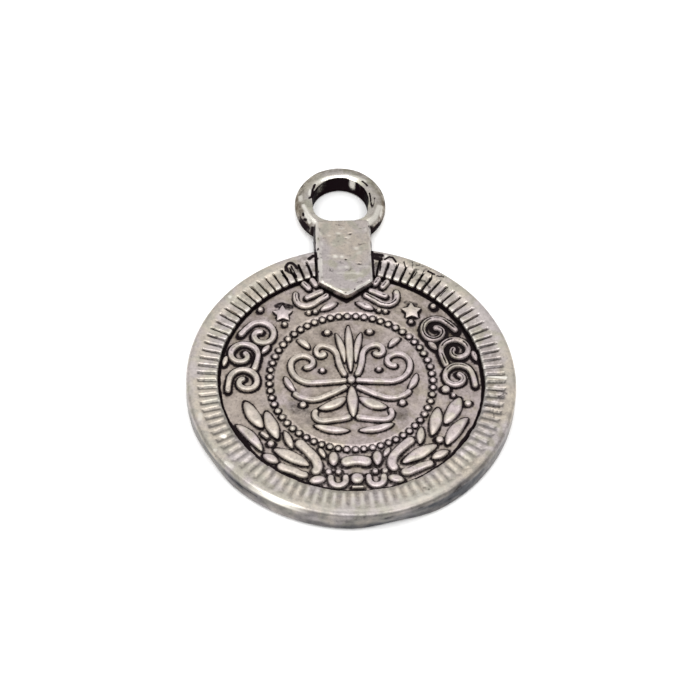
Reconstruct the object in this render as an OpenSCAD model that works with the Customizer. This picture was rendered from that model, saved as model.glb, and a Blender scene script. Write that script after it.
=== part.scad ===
/*
  Coin pendant: a cast coin with a pointed tab on its front and an eye ring at the top.
  Millimetres. The pendant lies on its back. +Z is up out of the coin's face, +Y runs towards the eye ring,
  and the origin is on the floor under the middle of the whole pendant.
*/

/* [Coin] */
// Diameter of the coin
coin_d = 25; // [24.6:0.1:26]
// Thickness at the border
coin_thick = 1.95; // [1.85:0.05:2.1]
// Depth of the sunk field below the border
field_depth = 0.45; // [0.4:0.05:0.55]
// Rounding of the coin's outer edge
edge_round = 0.3; // [0.2:0.05:0.5]
// Depth of the plain field on the back
back_depth = 0.1; // [0.05:0.05:0.2]

/* [Rim teeth] */
// Number of teeth
tooth_count = 100; // [80:1:110]
// Radius at the inner ends of the teeth
tooth_inner_r = 10.1; // [10.05:0.05:10.3]
// Radius at the outer ends of the teeth
tooth_outer_r = 11.55; // [11.4:0.05:11.8]
// Width of the groove between two teeth
groove_w = 0.16; // [0.12:0.01:0.2]
// Depth of that groove
groove_depth = 0.22; // [0.1:0.02:0.3]

/* [Bead circle] */
// Number of beads
bead_count = 60; // [48:1:64]
// Radius of the circle that the beads stand on
bead_circle_r = 6.2; // [6.1:0.05:6.3]
// Diameter of a bead
bead_d = 0.5; // [0.4:0.02:0.54]

/* [Relief] */
// Height of the relief above the field
relief_h = 0.32; // [0.2:0.02:0.4]
// Width of a raised line
line_w = 0.44; // [0.3:0.02:0.46]
// Distance from a star's centre to a point
star_r = 0.92; // [0.7:0.02:0.95]

/* [Tab and eye ring] */
// Width of the tab's flat face
tab_w = 4.1; // [3.8:0.1:4.4]
// Width of the neck under the tab
neck_w = 4.45; // [4.3:0.05:4.8]
// Height of the tab's face above the floor
tab_top = 2.35; // [2.3:0.05:2.5]
// Diameter of the hole in the eye ring
eye_hole_d = 4.33; // [4:0.01:4.5]
// Outer diameter of the eye ring
eye_outer_d = 7.2; // [7:0.1:7.4]
// Thickness of the ring's round wire
eye_wire_d = 1.9; // [1.7:0.1:1.9]

/* [Hidden] */
$fn = 96;

coin_r = coin_d / 2;
field_z = coin_thick - field_depth;
// How far raised pieces reach down into the metal below them
sink = 0.2;
// Power that makes a leaf fuller than a plain lens as it nears 0
leaf_fullness = 0.55;

border_r = coin_r - 0.55;
tooth_z = coin_thick - 0.06;
channel_w = 0.14;
channel_depth = 0.08;
bead_channel_w = 0.74;

// The eye ring's centre, and the tab's top edge, shoulders and point, along Y
eye_y = coin_r + 4.88;
tab_top_y = coin_r + 2.4;
tab_shoulder_y = 9.0;
tab_point_y = 7.6;
// Height at which the tab's sloping sides start
tab_slope_z = coin_thick - 0.35;
edge_bevel = 0.13;
neck_bottom_z = 0.15;

// From the coin's centre to the middle of the whole pendant
middle_y = (eye_y + eye_outer_d / 2 - coin_r) / 2;

silver = "#b4aca4";
bright_silver = "#cdc7c0";
tab_silver = "#bbb6ad";
ring_silver = "#a9a59d";

// Point at fraction t of an arc that starts at p, faces heading a, has length len and turns by turn degrees
function arc_point(p, a, len, turn, t) =
    abs(turn) < 0.01
        ? p + t * len * [cos(a), sin(a)]
        : let (r = len * 180 / (turn * PI))
          p + r * [sin(a + turn * t) - sin(a), cos(a) - cos(a + turn * t)];

// Points and headings along a run of arcs, each given as [length, turn], with one point for about 15 degrees
function run(p, a, moves, i = 0) =
    i == len(moves)
        ? [[p, a]]
        : let (m = moves[i], steps = max(2, ceil(abs(m[1]) / 15)))
          concat(
              [for (k = [0 : steps - 1]) [arc_point(p, a, m[0], m[1], k / steps), a + m[1] * k / steps]],
              run(arc_point(p, a, m[0], m[1], 1), a + m[1], moves, i + 1));

// Half round end of a line, from the side that lies at angle a
function round_end(p, a, r) = [for (k = [1 : 3]) p + r * [cos(a + 45 * k), sin(a + 45 * k)]];

// Outline of a line of width w along a run
function line_outline(r, w) =
    let (last = len(r) - 1)
    concat(
        [for (q = r) q[0] + w / 2 * [sin(q[1]), -cos(q[1])]],
        round_end(r[last][0], r[last][1] - 90, w / 2),
        [for (i = [last : -1 : 0]) r[i][0] + w / 2 * [-sin(r[i][1]), cos(r[i][1])]],
        round_end(r[0][0], r[0][1] + 90, w / 2));

// Outline of a leaf from a to b, widest in the middle. Its midrib is an arc that turns by bend degrees
function leaf_outline(a, b, w, bend) =
    let (n = 8,
         d = b - a,
         chord = norm(d),
         arc = abs(bend) < 0.01 ? chord : chord * (bend / 2 * PI / 180) / sin(bend / 2),
         start = atan2(d[1], d[0]) - bend / 2,
         side = function (t, s)
             let (h = start + bend * t)
             arc_point(a, start, arc, bend, t)
                 + s * w / 2 * pow(sin(180 * t), leaf_fullness) * [-sin(h), cos(h)])
    concat(
        [a],
        [for (k = [1 : n - 1]) side(k / n, -1)],
        [b],
        [for (k = [n - 1 : -1 : 1]) side(k / n, 1)]);

module raise_relief() {
    translate([0, 0, field_z - sink])
        linear_extrude(relief_h + sink)
            children();
}

module raised_line(start, heading, moves, w = line_w) {
    raise_relief()
        polygon(line_outline(run(start, heading, moves), w));
}

module raised_leaf(a, b, w, bend = 0) {
    raise_relief()
        polygon(leaf_outline(a, b, w, bend));
}

module berry(at, d) {
    translate([at[0], at[1], field_z - sink])
        cylinder(d = d, h = relief_h + sink, $fn = 32);
}

module both_sides() {
    children();
    mirror([1, 0, 0])
        children();
}

// Half section of the coin, from its axis to its edge, with the corners of the edge rounded by short chords
module coin_section() {
    back_border_r = border_r - 0.5;
    bead_channel = [bead_circle_r + bead_channel_w / 2, bead_circle_r - bead_channel_w / 2];
    rounding = [for (k = [0 : 4]) 90 * k / 4];
    polygon(concat(
        [[0, back_depth], [back_border_r, back_depth], [back_border_r + 0.15, 0]],
        [for (a = rounding) [coin_r - edge_round * (1 - sin(a)), edge_round * (1 - cos(a))]],
        [for (a = rounding) [coin_r - edge_round * (1 - cos(a)), coin_thick - edge_round * (1 - sin(a))]],
        [
            [tooth_outer_r, tooth_z],
            [tooth_inner_r + 0.2, tooth_z],
            [tooth_inner_r, tooth_z - 0.15],
            [tooth_inner_r, field_z - channel_depth],
            [tooth_inner_r - channel_w, field_z - channel_depth],
            [tooth_inner_r - channel_w, field_z],
            [bead_channel[0], field_z],
            [bead_channel[0], field_z - channel_depth],
            [bead_channel[1], field_z - channel_depth],
            [bead_channel[1], field_z],
            [0, field_z]
        ]));
}

module tooth_grooves() {
    for (i = [0 : tooth_count - 1])
        rotate(360 * i / tooth_count)
            translate([tooth_inner_r - channel_w / 2, -groove_w / 2, tooth_z - groove_depth])
                cube([tooth_outer_r - tooth_inner_r + channel_w / 2, groove_w, groove_depth + 1]);
}

module coin_blank() {
    color(silver)
        difference() {
            rotate_extrude()
                coin_section();
            tooth_grooves();
        }
}

module bead_circle() {
    color(bright_silver)
        for (i = [0 : bead_count - 1])
            rotate(360 * i / bead_count)
                translate([0, bead_circle_r, field_z - channel_depth])
                    sphere(d = bead_d, $fn = 24);
}

module star() {
    raise_relief()
        polygon([
            for (k = [0 : 9])
                let (r = k % 2 == 0 ? star_r : star_r * 0.45)
                r * [sin(36 * k), cos(36 * k)]
        ]);
}

module stars() {
    color(bright_silver)
        both_sides()
            translate([4.95, 6.5, 0])
                star();
}

// Leaves of the laurel, first the left branch and then the right. Columns: outer end, inner end, width,
// bend of the midrib
laurel_leaves = [
    [[-8.1, -1.66], [-6.85, -4.12], 1.0, 14],
    [[-6.55, -2.6], [-5.74, -5.15], 0.92, 10],
    [[-8.87, -3.78], [-6.97, -6.23], 0.8, -26],
    [[-5.24, -4.45], [-4.7, -6.05], 0.58, 4],
    [[-6.13, -6.05], [-3.5, -7.62], 0.92, -4],
    [[-6.92, -6.53], [-5.8, -7.3], 0.7, 8],
    [[-3.6, -9.04], [-2.3, -8.86], 0.74, 0],
    [[-2.73, -6.1], [-2.31, -6.96], 0.42, 0],
    [[-1.66, -6.42], [-1.7, -7.7], 0.74, 0],
    [[8.14, -1.7], [6.81, -4.1], 1.0, -14],
    [[6.42, -2.6], [5.8, -5.12], 0.92, -8],
    [[8.6, -3.6], [6.84, -6.03], 0.9, 24],
    [[5.05, -4.35], [4.84, -5.9], 0.6, 0],
    [[6.14, -5.99], [3.42, -7.56], 0.92, 4],
    [[6.95, -6.58], [5.66, -7.2], 0.7, -8],
    [[2.28, -8.76], [3.5, -9.14], 0.74, 12],
    [[2.56, -6.17], [2.1, -6.97], 0.42, 0],
    [[1.61, -6.42], [1.57, -7.72], 0.74, 0]
];

// Long curved leaves of the laurel. Columns: start, heading, run of arcs, width
laurel_strips = [
    [[-4.12, -5.66], -48, [[1.5, -7], [0.9, -30], [0.5, -45]], 0.74],
    [[-5.6, -7.7], -34, [[0.75, 18], [0.6, -22], [0.5, 28]], 0.64],
    [[-6.9, -4.68], -42, [[0.45, 0]], 0.32],
    [[4.13, -5.6], -141, [[1.56, 10], [0.9, 34], [0.5, 45]], 0.68],
    [[5.45, -7.73], -164, [[1.0, 10], [0.6, 0], [0.4, -38]], 0.62]
];

module laurel() {
    color(bright_silver) {
        for (l = laurel_leaves)
            raised_leaf(l[0], l[1], l[2], l[3]);
        for (s = laurel_strips)
            raised_line(s[0], s[1], s[2], s[3]);
    }
}

// Berries among the leaves. Columns: centre, diameter
berries = [
    [[-6.3, -5.6], 0.5],
    [[6.35, -5.55], 0.58],
    [[8.7, -2.3], 0.55],
    [[7.1, -0.95], 0.65],
    [[7.65, -1.55], 0.34]
];

module laurel_berries() {
    color(bright_silver)
        for (b = berries)
            berry(b[0], b[1]);
}

// Band, berry and bows where the two branches meet
module ribbon_knot() {
    color(bright_silver) {
        raised_line([-0.72, -7.38], 20, [[1.48, -40]], 0.85);
        berry([0, -8.88], 0.95);
        raised_line([-0.35, -9.72], 0, [[0.7, 0]], 0.2);
        both_sides() {
            raised_line([0.86, -8.78], -90, [[0.2, 0], [1.75, 180], [0.2, 0]], 0.46);
            berry([1.37, -8.28], 0.44);
            berry([2.1, -8.28], 0.46);
        }
    }
}

// Scrolls on either side of the tab's point
module tab_scrolls() {
    color(bright_silver)
        both_sides() {
            raised_line([-2.55, 9.58], -60, [[0.5, 0]], 0.46);
            raised_line([-3.2, 9.28], -52, [[0.55, 0]], 0.46);
            raised_line([-3.0, 7.95], 26, [[1.2, 0]]);
            raised_line([-3.88, 8.25], -102, [[0.7, 35], [0.8, 65], [0.75, 40], [1.2, -4]]);
            raised_leaf([-2.05, 6.72], [-0.72, 7.45], 0.56);
            berry([-2.95, 6.5], 0.36);
            berry([-2.45, 6.6], 0.36);
        }
}

// One curl of the running scroll, drawn about a point on the middle line of the coin's band
module band_curl() {
    raised_line([1.28, -1.0], 180, [[1.1, -10], [3.1, -170], [1.65, -130], [0.85, -115]]);
}

// Curls that lie by turns on the outer and the inner side, with a leaf between each two and berries at the ends
module band_scrollwork() {
    band_r = 8.3;
    first_angle = 53;
    pitch_angle = 16.5;
    curls = 3;
    color(bright_silver)
        both_sides()
            for (i = [0 : curls - 1])
                let (side = i % 2 == 0 ? -1 : 1)
                    rotate(-(first_angle + pitch_angle * i))
                        translate([0, band_r]) {
                            mirror([0, (1 - side) / 2, 0])
                                band_curl();
                            if (i < curls - 1)
                                raised_leaf([0.84, side * 1.36], [1.84, side * 1.3], 0.42);
                            if (i == 0) {
                                berry([-1.5, 1.15], 0.44);
                                berry([-1.45, -1.15], 0.36);
                            }
                        }
}

// Palmette with side scrolls, the same on both sides of the middle line
module medallion_ornament() {
    color(bright_silver) {
        raised_leaf([0, 0.85], [0, 5.3], 0.62);
        raised_leaf([0, -3.3], [0, -0.4], 0.8);
        berry([0, 0.12], 0.62);
        both_sides() {
            raised_line([0.5, 0.65], 64, [[1.7, 22], [1.6, -80], [1.15, -125], [0.6, -110]]);
            raised_line([0.55, 0.05], -6, [[2.4, 5], [2.6, 95], [2.1, 130], [1.2, 140]]);
            raised_line([0.55, -0.6], -30, [[1.9, 5], [1.9, 60], [0.3, 10]]);
            raised_line([0.4, -3.35], -14, [[1.9, 10], [1.0, 95], [0.25, 30]]);
            raised_leaf([0.42, 1.75], [0.98, 4.55], 0.5, -16);
            raised_leaf([0.5, -1.45], [2.6, -2.45], 0.8, 40);
            raised_leaf([0.35, -4.5], [3.0, -3.95], 0.6, 35);
            raised_leaf([4.3, -0.85], [5.0, 0.6], 0.5, 30);
            raised_leaf([3.05, 3.1], [3.95, 3.95], 0.5, -40);
            berry([3.75, -2.1], 0.5);
            berry([1.62, 4.6], 0.5);
            berry([2.15, 1.05], 0.4);
        }
    }
}

// Rise of the tab's point along Y for each millimetre across
point_slope = (tab_shoulder_y - tab_point_y) / (tab_w / 2);

// Plan of the tab as wide as its neck, with its point towards the coin's centre
module tab_plan() {
    half = neck_w / 2;
    polygon([
        [-half, tab_top_y],
        [-half, tab_point_y + point_slope * half],
        [0, tab_point_y],
        [half, tab_point_y + point_slope * half],
        [half, tab_top_y]
    ]);
}

// Half of the cross-section of the neck and tab, which lean in from the neck's width to the tab's face
module tab_half_section() {
    polygon([
        [0, neck_bottom_z],
        [neck_w / 2, neck_bottom_z],
        [neck_w / 2, tab_slope_z],
        [tab_w / 2, tab_top - edge_bevel],
        [tab_w / 2 - edge_bevel, tab_top],
        [0, tab_top]
    ]);
}

// Square bars laid along the two top edges of the point, which cut them to a bevel
module point_bevels() {
    both_sides()
        translate([0, tab_point_y, tab_top])
            rotate(atan(point_slope))
                rotate([45, 0, 0])
                    translate([-tab_w, -edge_bevel * sqrt(0.5), -edge_bevel * sqrt(0.5)])
                        cube([3 * tab_w, edge_bevel * sqrt(2), edge_bevel * sqrt(2)]);
}

// The neck runs on under the ring to just short of its hole, and the tab reaches down into the coin's face
module tab() {
    neck_start_y = coin_r - 1.5;
    neck_end_y = tab_top_y - 0.25;
    color(tab_silver) {
        difference() {
            intersection() {
                translate([0, 0, field_z - sink])
                    linear_extrude(tab_top)
                        tab_plan();
                translate([0, tab_top_y, 0])
                    rotate([90, 0, 0])
                        linear_extrude(tab_top_y)
                            both_sides()
                                tab_half_section();
            }
            point_bevels();
        }
        translate([-neck_w / 2, neck_start_y, neck_bottom_z])
            cube([neck_w, neck_end_y - neck_start_y, tab_slope_z - neck_bottom_z]);
    }
}

// Round wire ring whose inside is drilled to a straight wall
module eye_ring() {
    wire_r = eye_wire_d / 2;
    color(ring_silver)
        translate([0, eye_y, wire_r])
            rotate_extrude()
                translate([eye_outer_d / 2 - wire_r, 0])
                    circle(wire_r, $fn = 48);
}

module eye_hole() {
    translate([0, eye_y, -1])
        cylinder(d = eye_hole_d, h = tab_top + 2);
}

module coin_pendant() {
    translate([0, -middle_y, 0])
        difference() {
            union() {
                coin_blank();
                bead_circle();
                stars();
                laurel();
                laurel_berries();
                ribbon_knot();
                tab_scrolls();
                band_scrollwork();
                medallion_ornament();
                tab();
                eye_ring();
            }
            eye_hole();
        }
}

coin_pendant();
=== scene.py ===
# %% [markdown]
# # A coin pendant in antique silver
# The real pendant is one casting: a coin, a pointed tab laid over its face, and an eye ring for a jump
# ring. After casting it was blackened and rubbed bright again, so the dark patina stays in every corner.
# The CAD frame gives the sizes. This script dresses that frame: each ornament is made again with rounded,
# worn shapes, and one family of silver finishes carries the patina, along with painted highlights and shade.

# %% Load the frame
import math

import bmesh
import bpy
import numpy as np
from mathutils import Matrix, Vector, noise


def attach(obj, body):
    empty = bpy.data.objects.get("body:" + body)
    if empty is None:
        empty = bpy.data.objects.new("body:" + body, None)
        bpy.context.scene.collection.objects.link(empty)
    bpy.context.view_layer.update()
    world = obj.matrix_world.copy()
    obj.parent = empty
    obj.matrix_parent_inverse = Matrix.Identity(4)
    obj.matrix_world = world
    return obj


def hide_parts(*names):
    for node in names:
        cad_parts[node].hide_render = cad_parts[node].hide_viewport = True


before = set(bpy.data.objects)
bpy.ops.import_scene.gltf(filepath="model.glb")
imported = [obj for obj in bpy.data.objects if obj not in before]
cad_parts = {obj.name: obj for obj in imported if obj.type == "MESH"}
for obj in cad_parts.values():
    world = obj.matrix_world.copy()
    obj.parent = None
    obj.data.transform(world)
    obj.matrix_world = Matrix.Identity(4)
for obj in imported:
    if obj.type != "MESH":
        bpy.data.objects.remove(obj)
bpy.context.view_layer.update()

# %% [markdown]
# ## Sizes
# The numbers below are the ones that the CAD source uses, in millimetres, with the coin's centre as the
# origin and the ring along +Y. One function turns them into the frame's metres, where the origin is under
# the middle of the whole pendant.

# %% Sizes of the coin, tab and ring
COIN_R, COIN_THICK = 12.5, 1.95
FIELD_Z, CHANNEL_DEPTH, BACK_Z = 1.5, 0.08, 0.1
CHANNEL_Z = FIELD_Z - CHANNEL_DEPTH
TOOTH_COUNT, TOOTH_INNER_R, TOOTH_OUTER_R = 100, 10.1, 11.55
TOOTH_Z, TOOTH_FLOOR_Z = 1.89, 1.67
TOOTH_DRIFT = (0.26, 0.125)
BEAD_COUNT, BEAD_CIRCLE_R, BEAD_R, BEAD_CHANNEL_W = 60, 6.2, 0.25, 0.74
BAND_INNER_R = 6.3
RELIEF_H, LINE_W, LEAF_FULLNESS = 0.32, 0.44, 0.55
TAB_HALF, NECK_HALF, TAB_TOP, TAB_SLOPE_Z, NECK_BOTTOM = 2.05, 2.225, 2.35, 1.6, 0.15
TAB_TOP_Y, TAB_POINT_Y, TAB_POINT_SLOPE = 14.9, 7.6, 1.4 / 2.05
EYE_Y, EYE_MAJOR_R, WIRE_R, EYE_HOLE_R = 17.38, 2.65, 0.95, 2.165
MIDDLE_Y = 4.24
MM = 0.001


def to_frame(points_mm):
    """Millimetres about the coin's centre, as metres in the frame."""
    return (np.asarray(points_mm, float) - [0, MIDDLE_Y, 0]) * MM


def soft_step(low, high, x):
    """0 at low, 1 at high, and a smooth change between them. It falls where low is above high."""
    t = np.clip((np.asarray(x, float) - low) / (high - low), 0, 1)
    return t * t * (3 - 2 * t)


print("coin", 2 * COIN_R, "mm across,", COIN_THICK, "mm thick")

# %% [markdown]
# ## Camera
# The photograph was taken from in front and above, about 54 degrees up, through a long lens. The camera
# stands where the outline of the coin, its thickness and the ring all fall on the photograph's lines. The
# small roll follows the pendant's lean in the picture.

# %% Camera at the photograph's viewing angle
SENSOR_WIDTH, LENS = 36, 185.69
AZIMUTH, ELEVATION, ROLL = (math.radians(v) for v in (-5.45, 53.92, 3.223))
DISTANCE, AIM = 277 * MM, Vector((0.153, -0.153, 0)) * MM


def add_object(name, data):
    """A new object in the scene, at the origin."""
    made = bpy.data.objects.new(name, data)
    bpy.context.scene.collection.objects.link(made)
    return made


camera = add_object("camera", bpy.data.cameras.new("camera"))
bpy.context.scene.camera = camera
camera.data.sensor_width, camera.data.lens = SENSOR_WIDTH, LENS
camera.data.clip_start, camera.data.clip_end = 0.01, 10

sideways = Vector((math.cos(AZIMUTH), math.sin(AZIMUTH), 0))
back = Vector((math.sin(AZIMUTH) * math.cos(ELEVATION), -math.cos(AZIMUTH) * math.cos(ELEVATION),
               math.sin(ELEVATION)))
upward = back.cross(sideways)
right = math.cos(ROLL) * sideways + math.sin(ROLL) * upward
up = -math.sin(ROLL) * sideways + math.cos(ROLL) * upward
turned = Matrix((right, up, back)).transposed().to_4x4()
camera.matrix_world = Matrix.Translation(AIM + DISTANCE * back) @ turned
print("camera stands", round(camera.location.z * 1000), "mm above the floor")

# %% [markdown]
# ## Shader maths in plain expressions
# A finish is a graph of nodes. Writing `1 - dark * 0.5` is easier to read than four nodes and their links,
# so a small class wraps a socket and adds a Math node for each operator. A second class adds any other node
# from its type, its settings and its inputs. The same two serve the Geometry Nodes below.


# %% A socket that can be used in sums
class Value:
    """One output socket. Arithmetic on it adds Math nodes to its tree."""

    def __init__(self, bench, socket):
        self.bench, self.socket = bench, socket

    def _math(self, operation, *terms):
        return self.bench.node("ShaderNodeMath", {"operation": operation}, dict(enumerate(terms)))

    def __add__(self, other):
        return self._math("ADD", self, other)

    def __sub__(self, other):
        return self._math("SUBTRACT", self, other)

    def __rsub__(self, other):
        return self._math("SUBTRACT", other, self)

    def __mul__(self, other):
        return self._math("MULTIPLY", self, other)

    def __truediv__(self, other):
        return self._math("DIVIDE", self, other)

    def __neg__(self):
        return self._math("MULTIPLY", self, -1)

    __radd__, __rmul__ = __add__, __mul__

    def least(self, other):
        return self._math("MINIMUM", self, other)

    def most(self, other):
        return self._math("MAXIMUM", self, other)

    def size(self):
        return self._math("ABSOLUTE", self)

    def root(self):
        return self._math("SQRT", self)

    def nearest(self):
        return self._math("ROUND", self)

    def cosine(self):
        return self._math("COSINE", self)

    def sine(self):
        return self._math("SINE", self)


print("sums on sockets are ready")


# %% A bench that adds nodes
class Bench:
    """Adds nodes to one tree. Settings go first, because they decide which sockets a node has."""

    def __init__(self, tree):
        self.tree = tree

    def node(self, kind, settings=None, inputs=None, out=0):
        made = self.tree.nodes.new(kind)
        for name, setting in (settings or {}).items():
            setattr(made, name, setting)
        for key, given in (inputs or {}).items():
            socket = self._find(made.inputs, key)
            if isinstance(given, Value):
                self.tree.links.new(given.socket, socket)
            else:
                socket.default_value = given
        return Value(self, self._find(made.outputs, out))

    @staticmethod
    def _find(sockets, key):
        if isinstance(key, int):
            return sockets[key]
        return next(s for s in sockets if s.enabled and s.name == key)

    def blend(self, factor, first, second):
        """Colour between two colours."""
        colours = {"Factor": factor, "A": first, "B": second}
        return self.node("ShaderNodeMix", {"data_type": "RGBA"}, colours, "Result")

    def step(self, value, low, high):
        """Smooth rise from 0 to 1 as the value goes from low to high."""
        return self.node("ShaderNodeMapRange", {"interpolation_type": "SMOOTHSTEP"},
                         {"Value": value, "From Min": low, "From Max": high}, "Result")


print("bench ready")

# %% [markdown]
# ## Antique silver
# Antique silver is a bright metal under a thin, broken coat of black sulphide. Four vertex attributes say
# what became of the coat, and each also carries some painted light: one holds the black in corners and some
# painted shade, one a brown haze on open ground and painted shade on the rim and ring, one a smooth grey
# that is a few smears but mostly painted shade, as on the side wall, and one the brightest worn places and
# the painted highlights. Noise in millimetres breaks their edges, so no border looks drawn. The metal between
# them drifts from warm to lilac to olive within a millimetre or two. Every finish below is this one recipe
# with other colours, because a polished ring and an open field differ only in how far they were rubbed.

# %% One recipe for every silver surface
# The brown and the grey also serve as painted shade, and the rubbed colour as painted highlights
BROWN_HAZE, GREY_FILM, FLECK = (0.1, 0.074, 0.05, 1), (0.03, 0.032, 0.039, 1), (0.05, 0.042, 0.045, 1)
RUBBED_METAL, BLACK = (0.84, 0.81, 0.74, 1), (0.012, 0.0075, 0.009, 1)
BUMP_HEIGHT = 0.03 * MM


def silver_finish(name, warm, lilac, olive, roughness, grain=1.0, specks=0.5, flat_angle=1.0):
    """Silver that drifts between three tones, under black, brown haze and grey that hold painted shade too,
    and bright where worn or where a highlight is painted.
    """
    material = bpy.data.materials.new(name)
    material.use_nodes = True
    shader, links = material.node_tree.nodes["Principled BSDF"], material.node_tree.links
    bench = Bench(material.node_tree)
    place = bench.node("ShaderNodeTexCoord", out="Object")
    place = bench.node("ShaderNodeVectorMath", {"operation": "SCALE"}, {"Vector": place, "Scale": 1 / MM})

    def cloud(per_mm, detail=3.0, distortion=0.0):
        return bench.node("ShaderNodeTexNoise", None, {
            "Vector": place, "Scale": per_mm, "Detail": detail, "Distortion": distortion}, "Fac")

    def layer(attribute):
        return bench.node("ShaderNodeAttribute", {"attribute_name": attribute}, None, "Fac")

    drift, patch, mottle = cloud(0.3), cloud(0.85, 2), cloud(1.7, 4)
    cast, fine = cloud(5.5, 3, 0.6), cloud(16, 2)
    patina, stain, rubbed, film = layer("patina"), layer("stain"), layer("rubbed"), layer("film")
    black = bench.step(patina + (mottle - 0.5) * 0.3 + (cast - 0.5) * 0.5, 0.28, 0.8)
    fleck = bench.step(cast + (fine - 0.5) * 0.6, 0.62, 0.78) * specks
    dim = (*[0.5 * c for c in lilac], 1)

    tone = bench.blend(bench.step(drift, 0.42, 0.58), (*warm, 1), (*lilac, 1))
    tone = bench.blend(bench.step(patch, 0.5, 0.64), tone, (*olive, 1))
    tone = bench.blend(bench.step(mottle, 0.35, 0.75) * 0.35 + bench.step(cast, 0.35, 0.7) * 0.32, tone, dim)
    tone = bench.blend(stain * bench.step(mottle + cast * 0.5, 0.4, 0.95), tone, BROWN_HAZE)
    tone = bench.blend(film * (0.7 + mottle * 0.4), tone, GREY_FILM)
    tone = bench.blend(fleck * 0.5, tone, FLECK)
    tone = bench.blend(rubbed * (0.6 + cast * 0.6), tone, RUBBED_METAL)
    tone = bench.blend(black, tone, BLACK)
    rough = roughness + (mottle - 0.5) * 0.16 + (fine - 0.5) * 0.1 + black * 0.2 + stain * 0.1 - rubbed * 0.1
    bumps = cast * 0.5 + fine * 0.22 + mottle * 0.5 - black * 0.5 - fleck * 0.4
    normal = bench.node("ShaderNodeBump", None, {
        "Strength": 0.6 * grain, "Distance": BUMP_HEIGHT, "Height": bumps}, "Normal")
    for socket, value in {
            "Base Color": tone, "Roughness": rough, "Metallic": 1 - stain * 0.1, "Normal": normal}.items():
        links.new(value.socket, shader.inputs[socket])
    shader.inputs["Specular Tint"].default_value = (flat_angle, flat_angle, flat_angle, 1)
    return material


print("a finish is made by 8 blends, over bumps of", round(BUMP_HEIGHT / MM, 3), "mm")

# %% Five finishes, each with its warm, its lilac and its olive tone
field_silver = silver_finish(
    "field silver", (0.432, 0.372, 0.325), (0.442, 0.38, 0.37), (0.417, 0.365, 0.307), 0.46, specks=0.8)
relief_silver = silver_finish(
    "relief silver", (0.556, 0.494, 0.427), (0.541, 0.468, 0.47), (0.512, 0.467, 0.4), 0.58, specks=0.7)
rim_silver = silver_finish(
    "rim silver", (0.537, 0.478, 0.4), (0.507, 0.458, 0.448), (0.48, 0.45, 0.377), 0.42, specks=0.55)
tab_silver = silver_finish(
    "tab silver", (0.482, 0.422, 0.358), (0.462, 0.416, 0.408), (0.433, 0.407, 0.334), 0.38, 0.8, 0.45)
ring_silver = silver_finish(
    "ring silver", (0.522, 0.487, 0.408), (0.462, 0.428, 0.4), (0.442, 0.428, 0.345), 0.28, 0.8,
    flat_angle=0.45)
print("finishes:", len(bpy.data.materials))

# %% [markdown]
# ## From points to a finished piece
# Every hand-built piece ends the same way: points in millimetres become a mesh in the frame's metres,
# doubled points are merged so that seams and tips are closed, faces are turned outwards, and the attributes
# of wear and of painted light and shade are written. The piece then rides on the pendant's one body and
# stands for the CAD solid.


# %% Read, paint and close a mesh
def paint(mesh, **layers):
    """Writes one number for each vertex under each name."""
    for name, numbers in layers.items():
        attribute = mesh.attributes.new(name, "FLOAT", "POINT")
        attribute.data.foreach_set("value", np.ascontiguousarray(numbers, np.float32))


def points_of(mesh):
    """The mesh's points in millimetres about the coin's centre."""
    flat = np.empty(3 * len(mesh.vertices))
    mesh.vertices.foreach_get("co", flat)
    return flat.reshape(-1, 3) / MM + [0, MIDDLE_Y, 0]


def close_mesh(mesh):
    """Merges doubled points and turns the faces outwards."""
    work = bmesh.new()
    work.from_mesh(mesh)
    bmesh.ops.remove_doubles(work, verts=work.verts, dist=2e-7)
    bmesh.ops.dissolve_degenerate(work, edges=work.edges, dist=1e-7)
    bmesh.ops.recalc_face_normals(work, faces=work.faces)
    if work.calc_volume(signed=True) < 0:
        bmesh.ops.reverse_faces(work, faces=work.faces)
    work.to_mesh(mesh)
    work.free()


print("materials that read the wear:", [m.name for m in bpy.data.materials if "silver" in m.name])


# %% Hand a piece over to the frame
def hand_over(piece, material, sharp=50):
    """Gives the piece its finish and smooth shading, sets it on the pendant's body and hides the CAD solid.
    """
    piece.data.materials.clear()
    piece.data.materials.append(material)
    piece.data.shade_smooth()
    piece.data.set_sharp_from_angle(angle=math.radians(sharp))
    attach(piece, "root")
    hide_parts("coin_pendant")
    work = bmesh.new()
    work.from_mesh(piece.data)
    open_edges = sum(not e.is_manifold for e in work.edges)
    triangles = sum(len(f.verts) - 2 for f in work.faces)
    print(f"{piece.name}: {triangles} triangles, {open_edges} open edges, {work.calc_volume() * 1e9:.1f} mm3")
    work.free()


def make_piece(name, points_mm, faces, material, sharp=50, **layers):
    """A closed piece from points and faces, with its wear and its painted light and shade."""
    mesh = bpy.data.meshes.new(name)
    mesh.from_pydata(to_frame(points_mm), [], faces)
    paint(mesh, **layers)
    close_mesh(mesh)
    hand_over(add_object(name, mesh), material, sharp)


def loop_faces(rows, around):
    """Quads between rows of points, where each row is a closed loop."""
    i, j = np.meshgrid(np.arange(rows - 1), np.arange(around), indexing="ij")
    k = (j + 1) % around
    quads = np.stack([i * around + j, i * around + k, (i + 1) * around + k, (i + 1) * around + j], -1)
    return quads.reshape(-1, 4)


print("two rows of 8 points give", len(loop_faces(2, 8)), "faces")


# %% Places round the coin, noise and marks
def compass(xy):
    """Degrees from the ring, clockwise as seen from the front."""
    return np.degrees(np.arctan2(xy[:, 0], xy[:, 1])) % 360


def near_angle(degrees, centre, width):
    """1 at the centre angle, falling to 0 at width degrees from it."""
    apart = np.abs((degrees - centre + 180) % 360 - 180)
    return 1 - soft_step(0, width, apart)


def lobes(degrees, parts, join=np.sum):
    """Amounts that swell round the coin, each given as [amount, centre angle, width], summed or joined."""
    return join([amount * near_angle(degrees, centre, width) for amount, centre, width in parts], axis=0)


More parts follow.
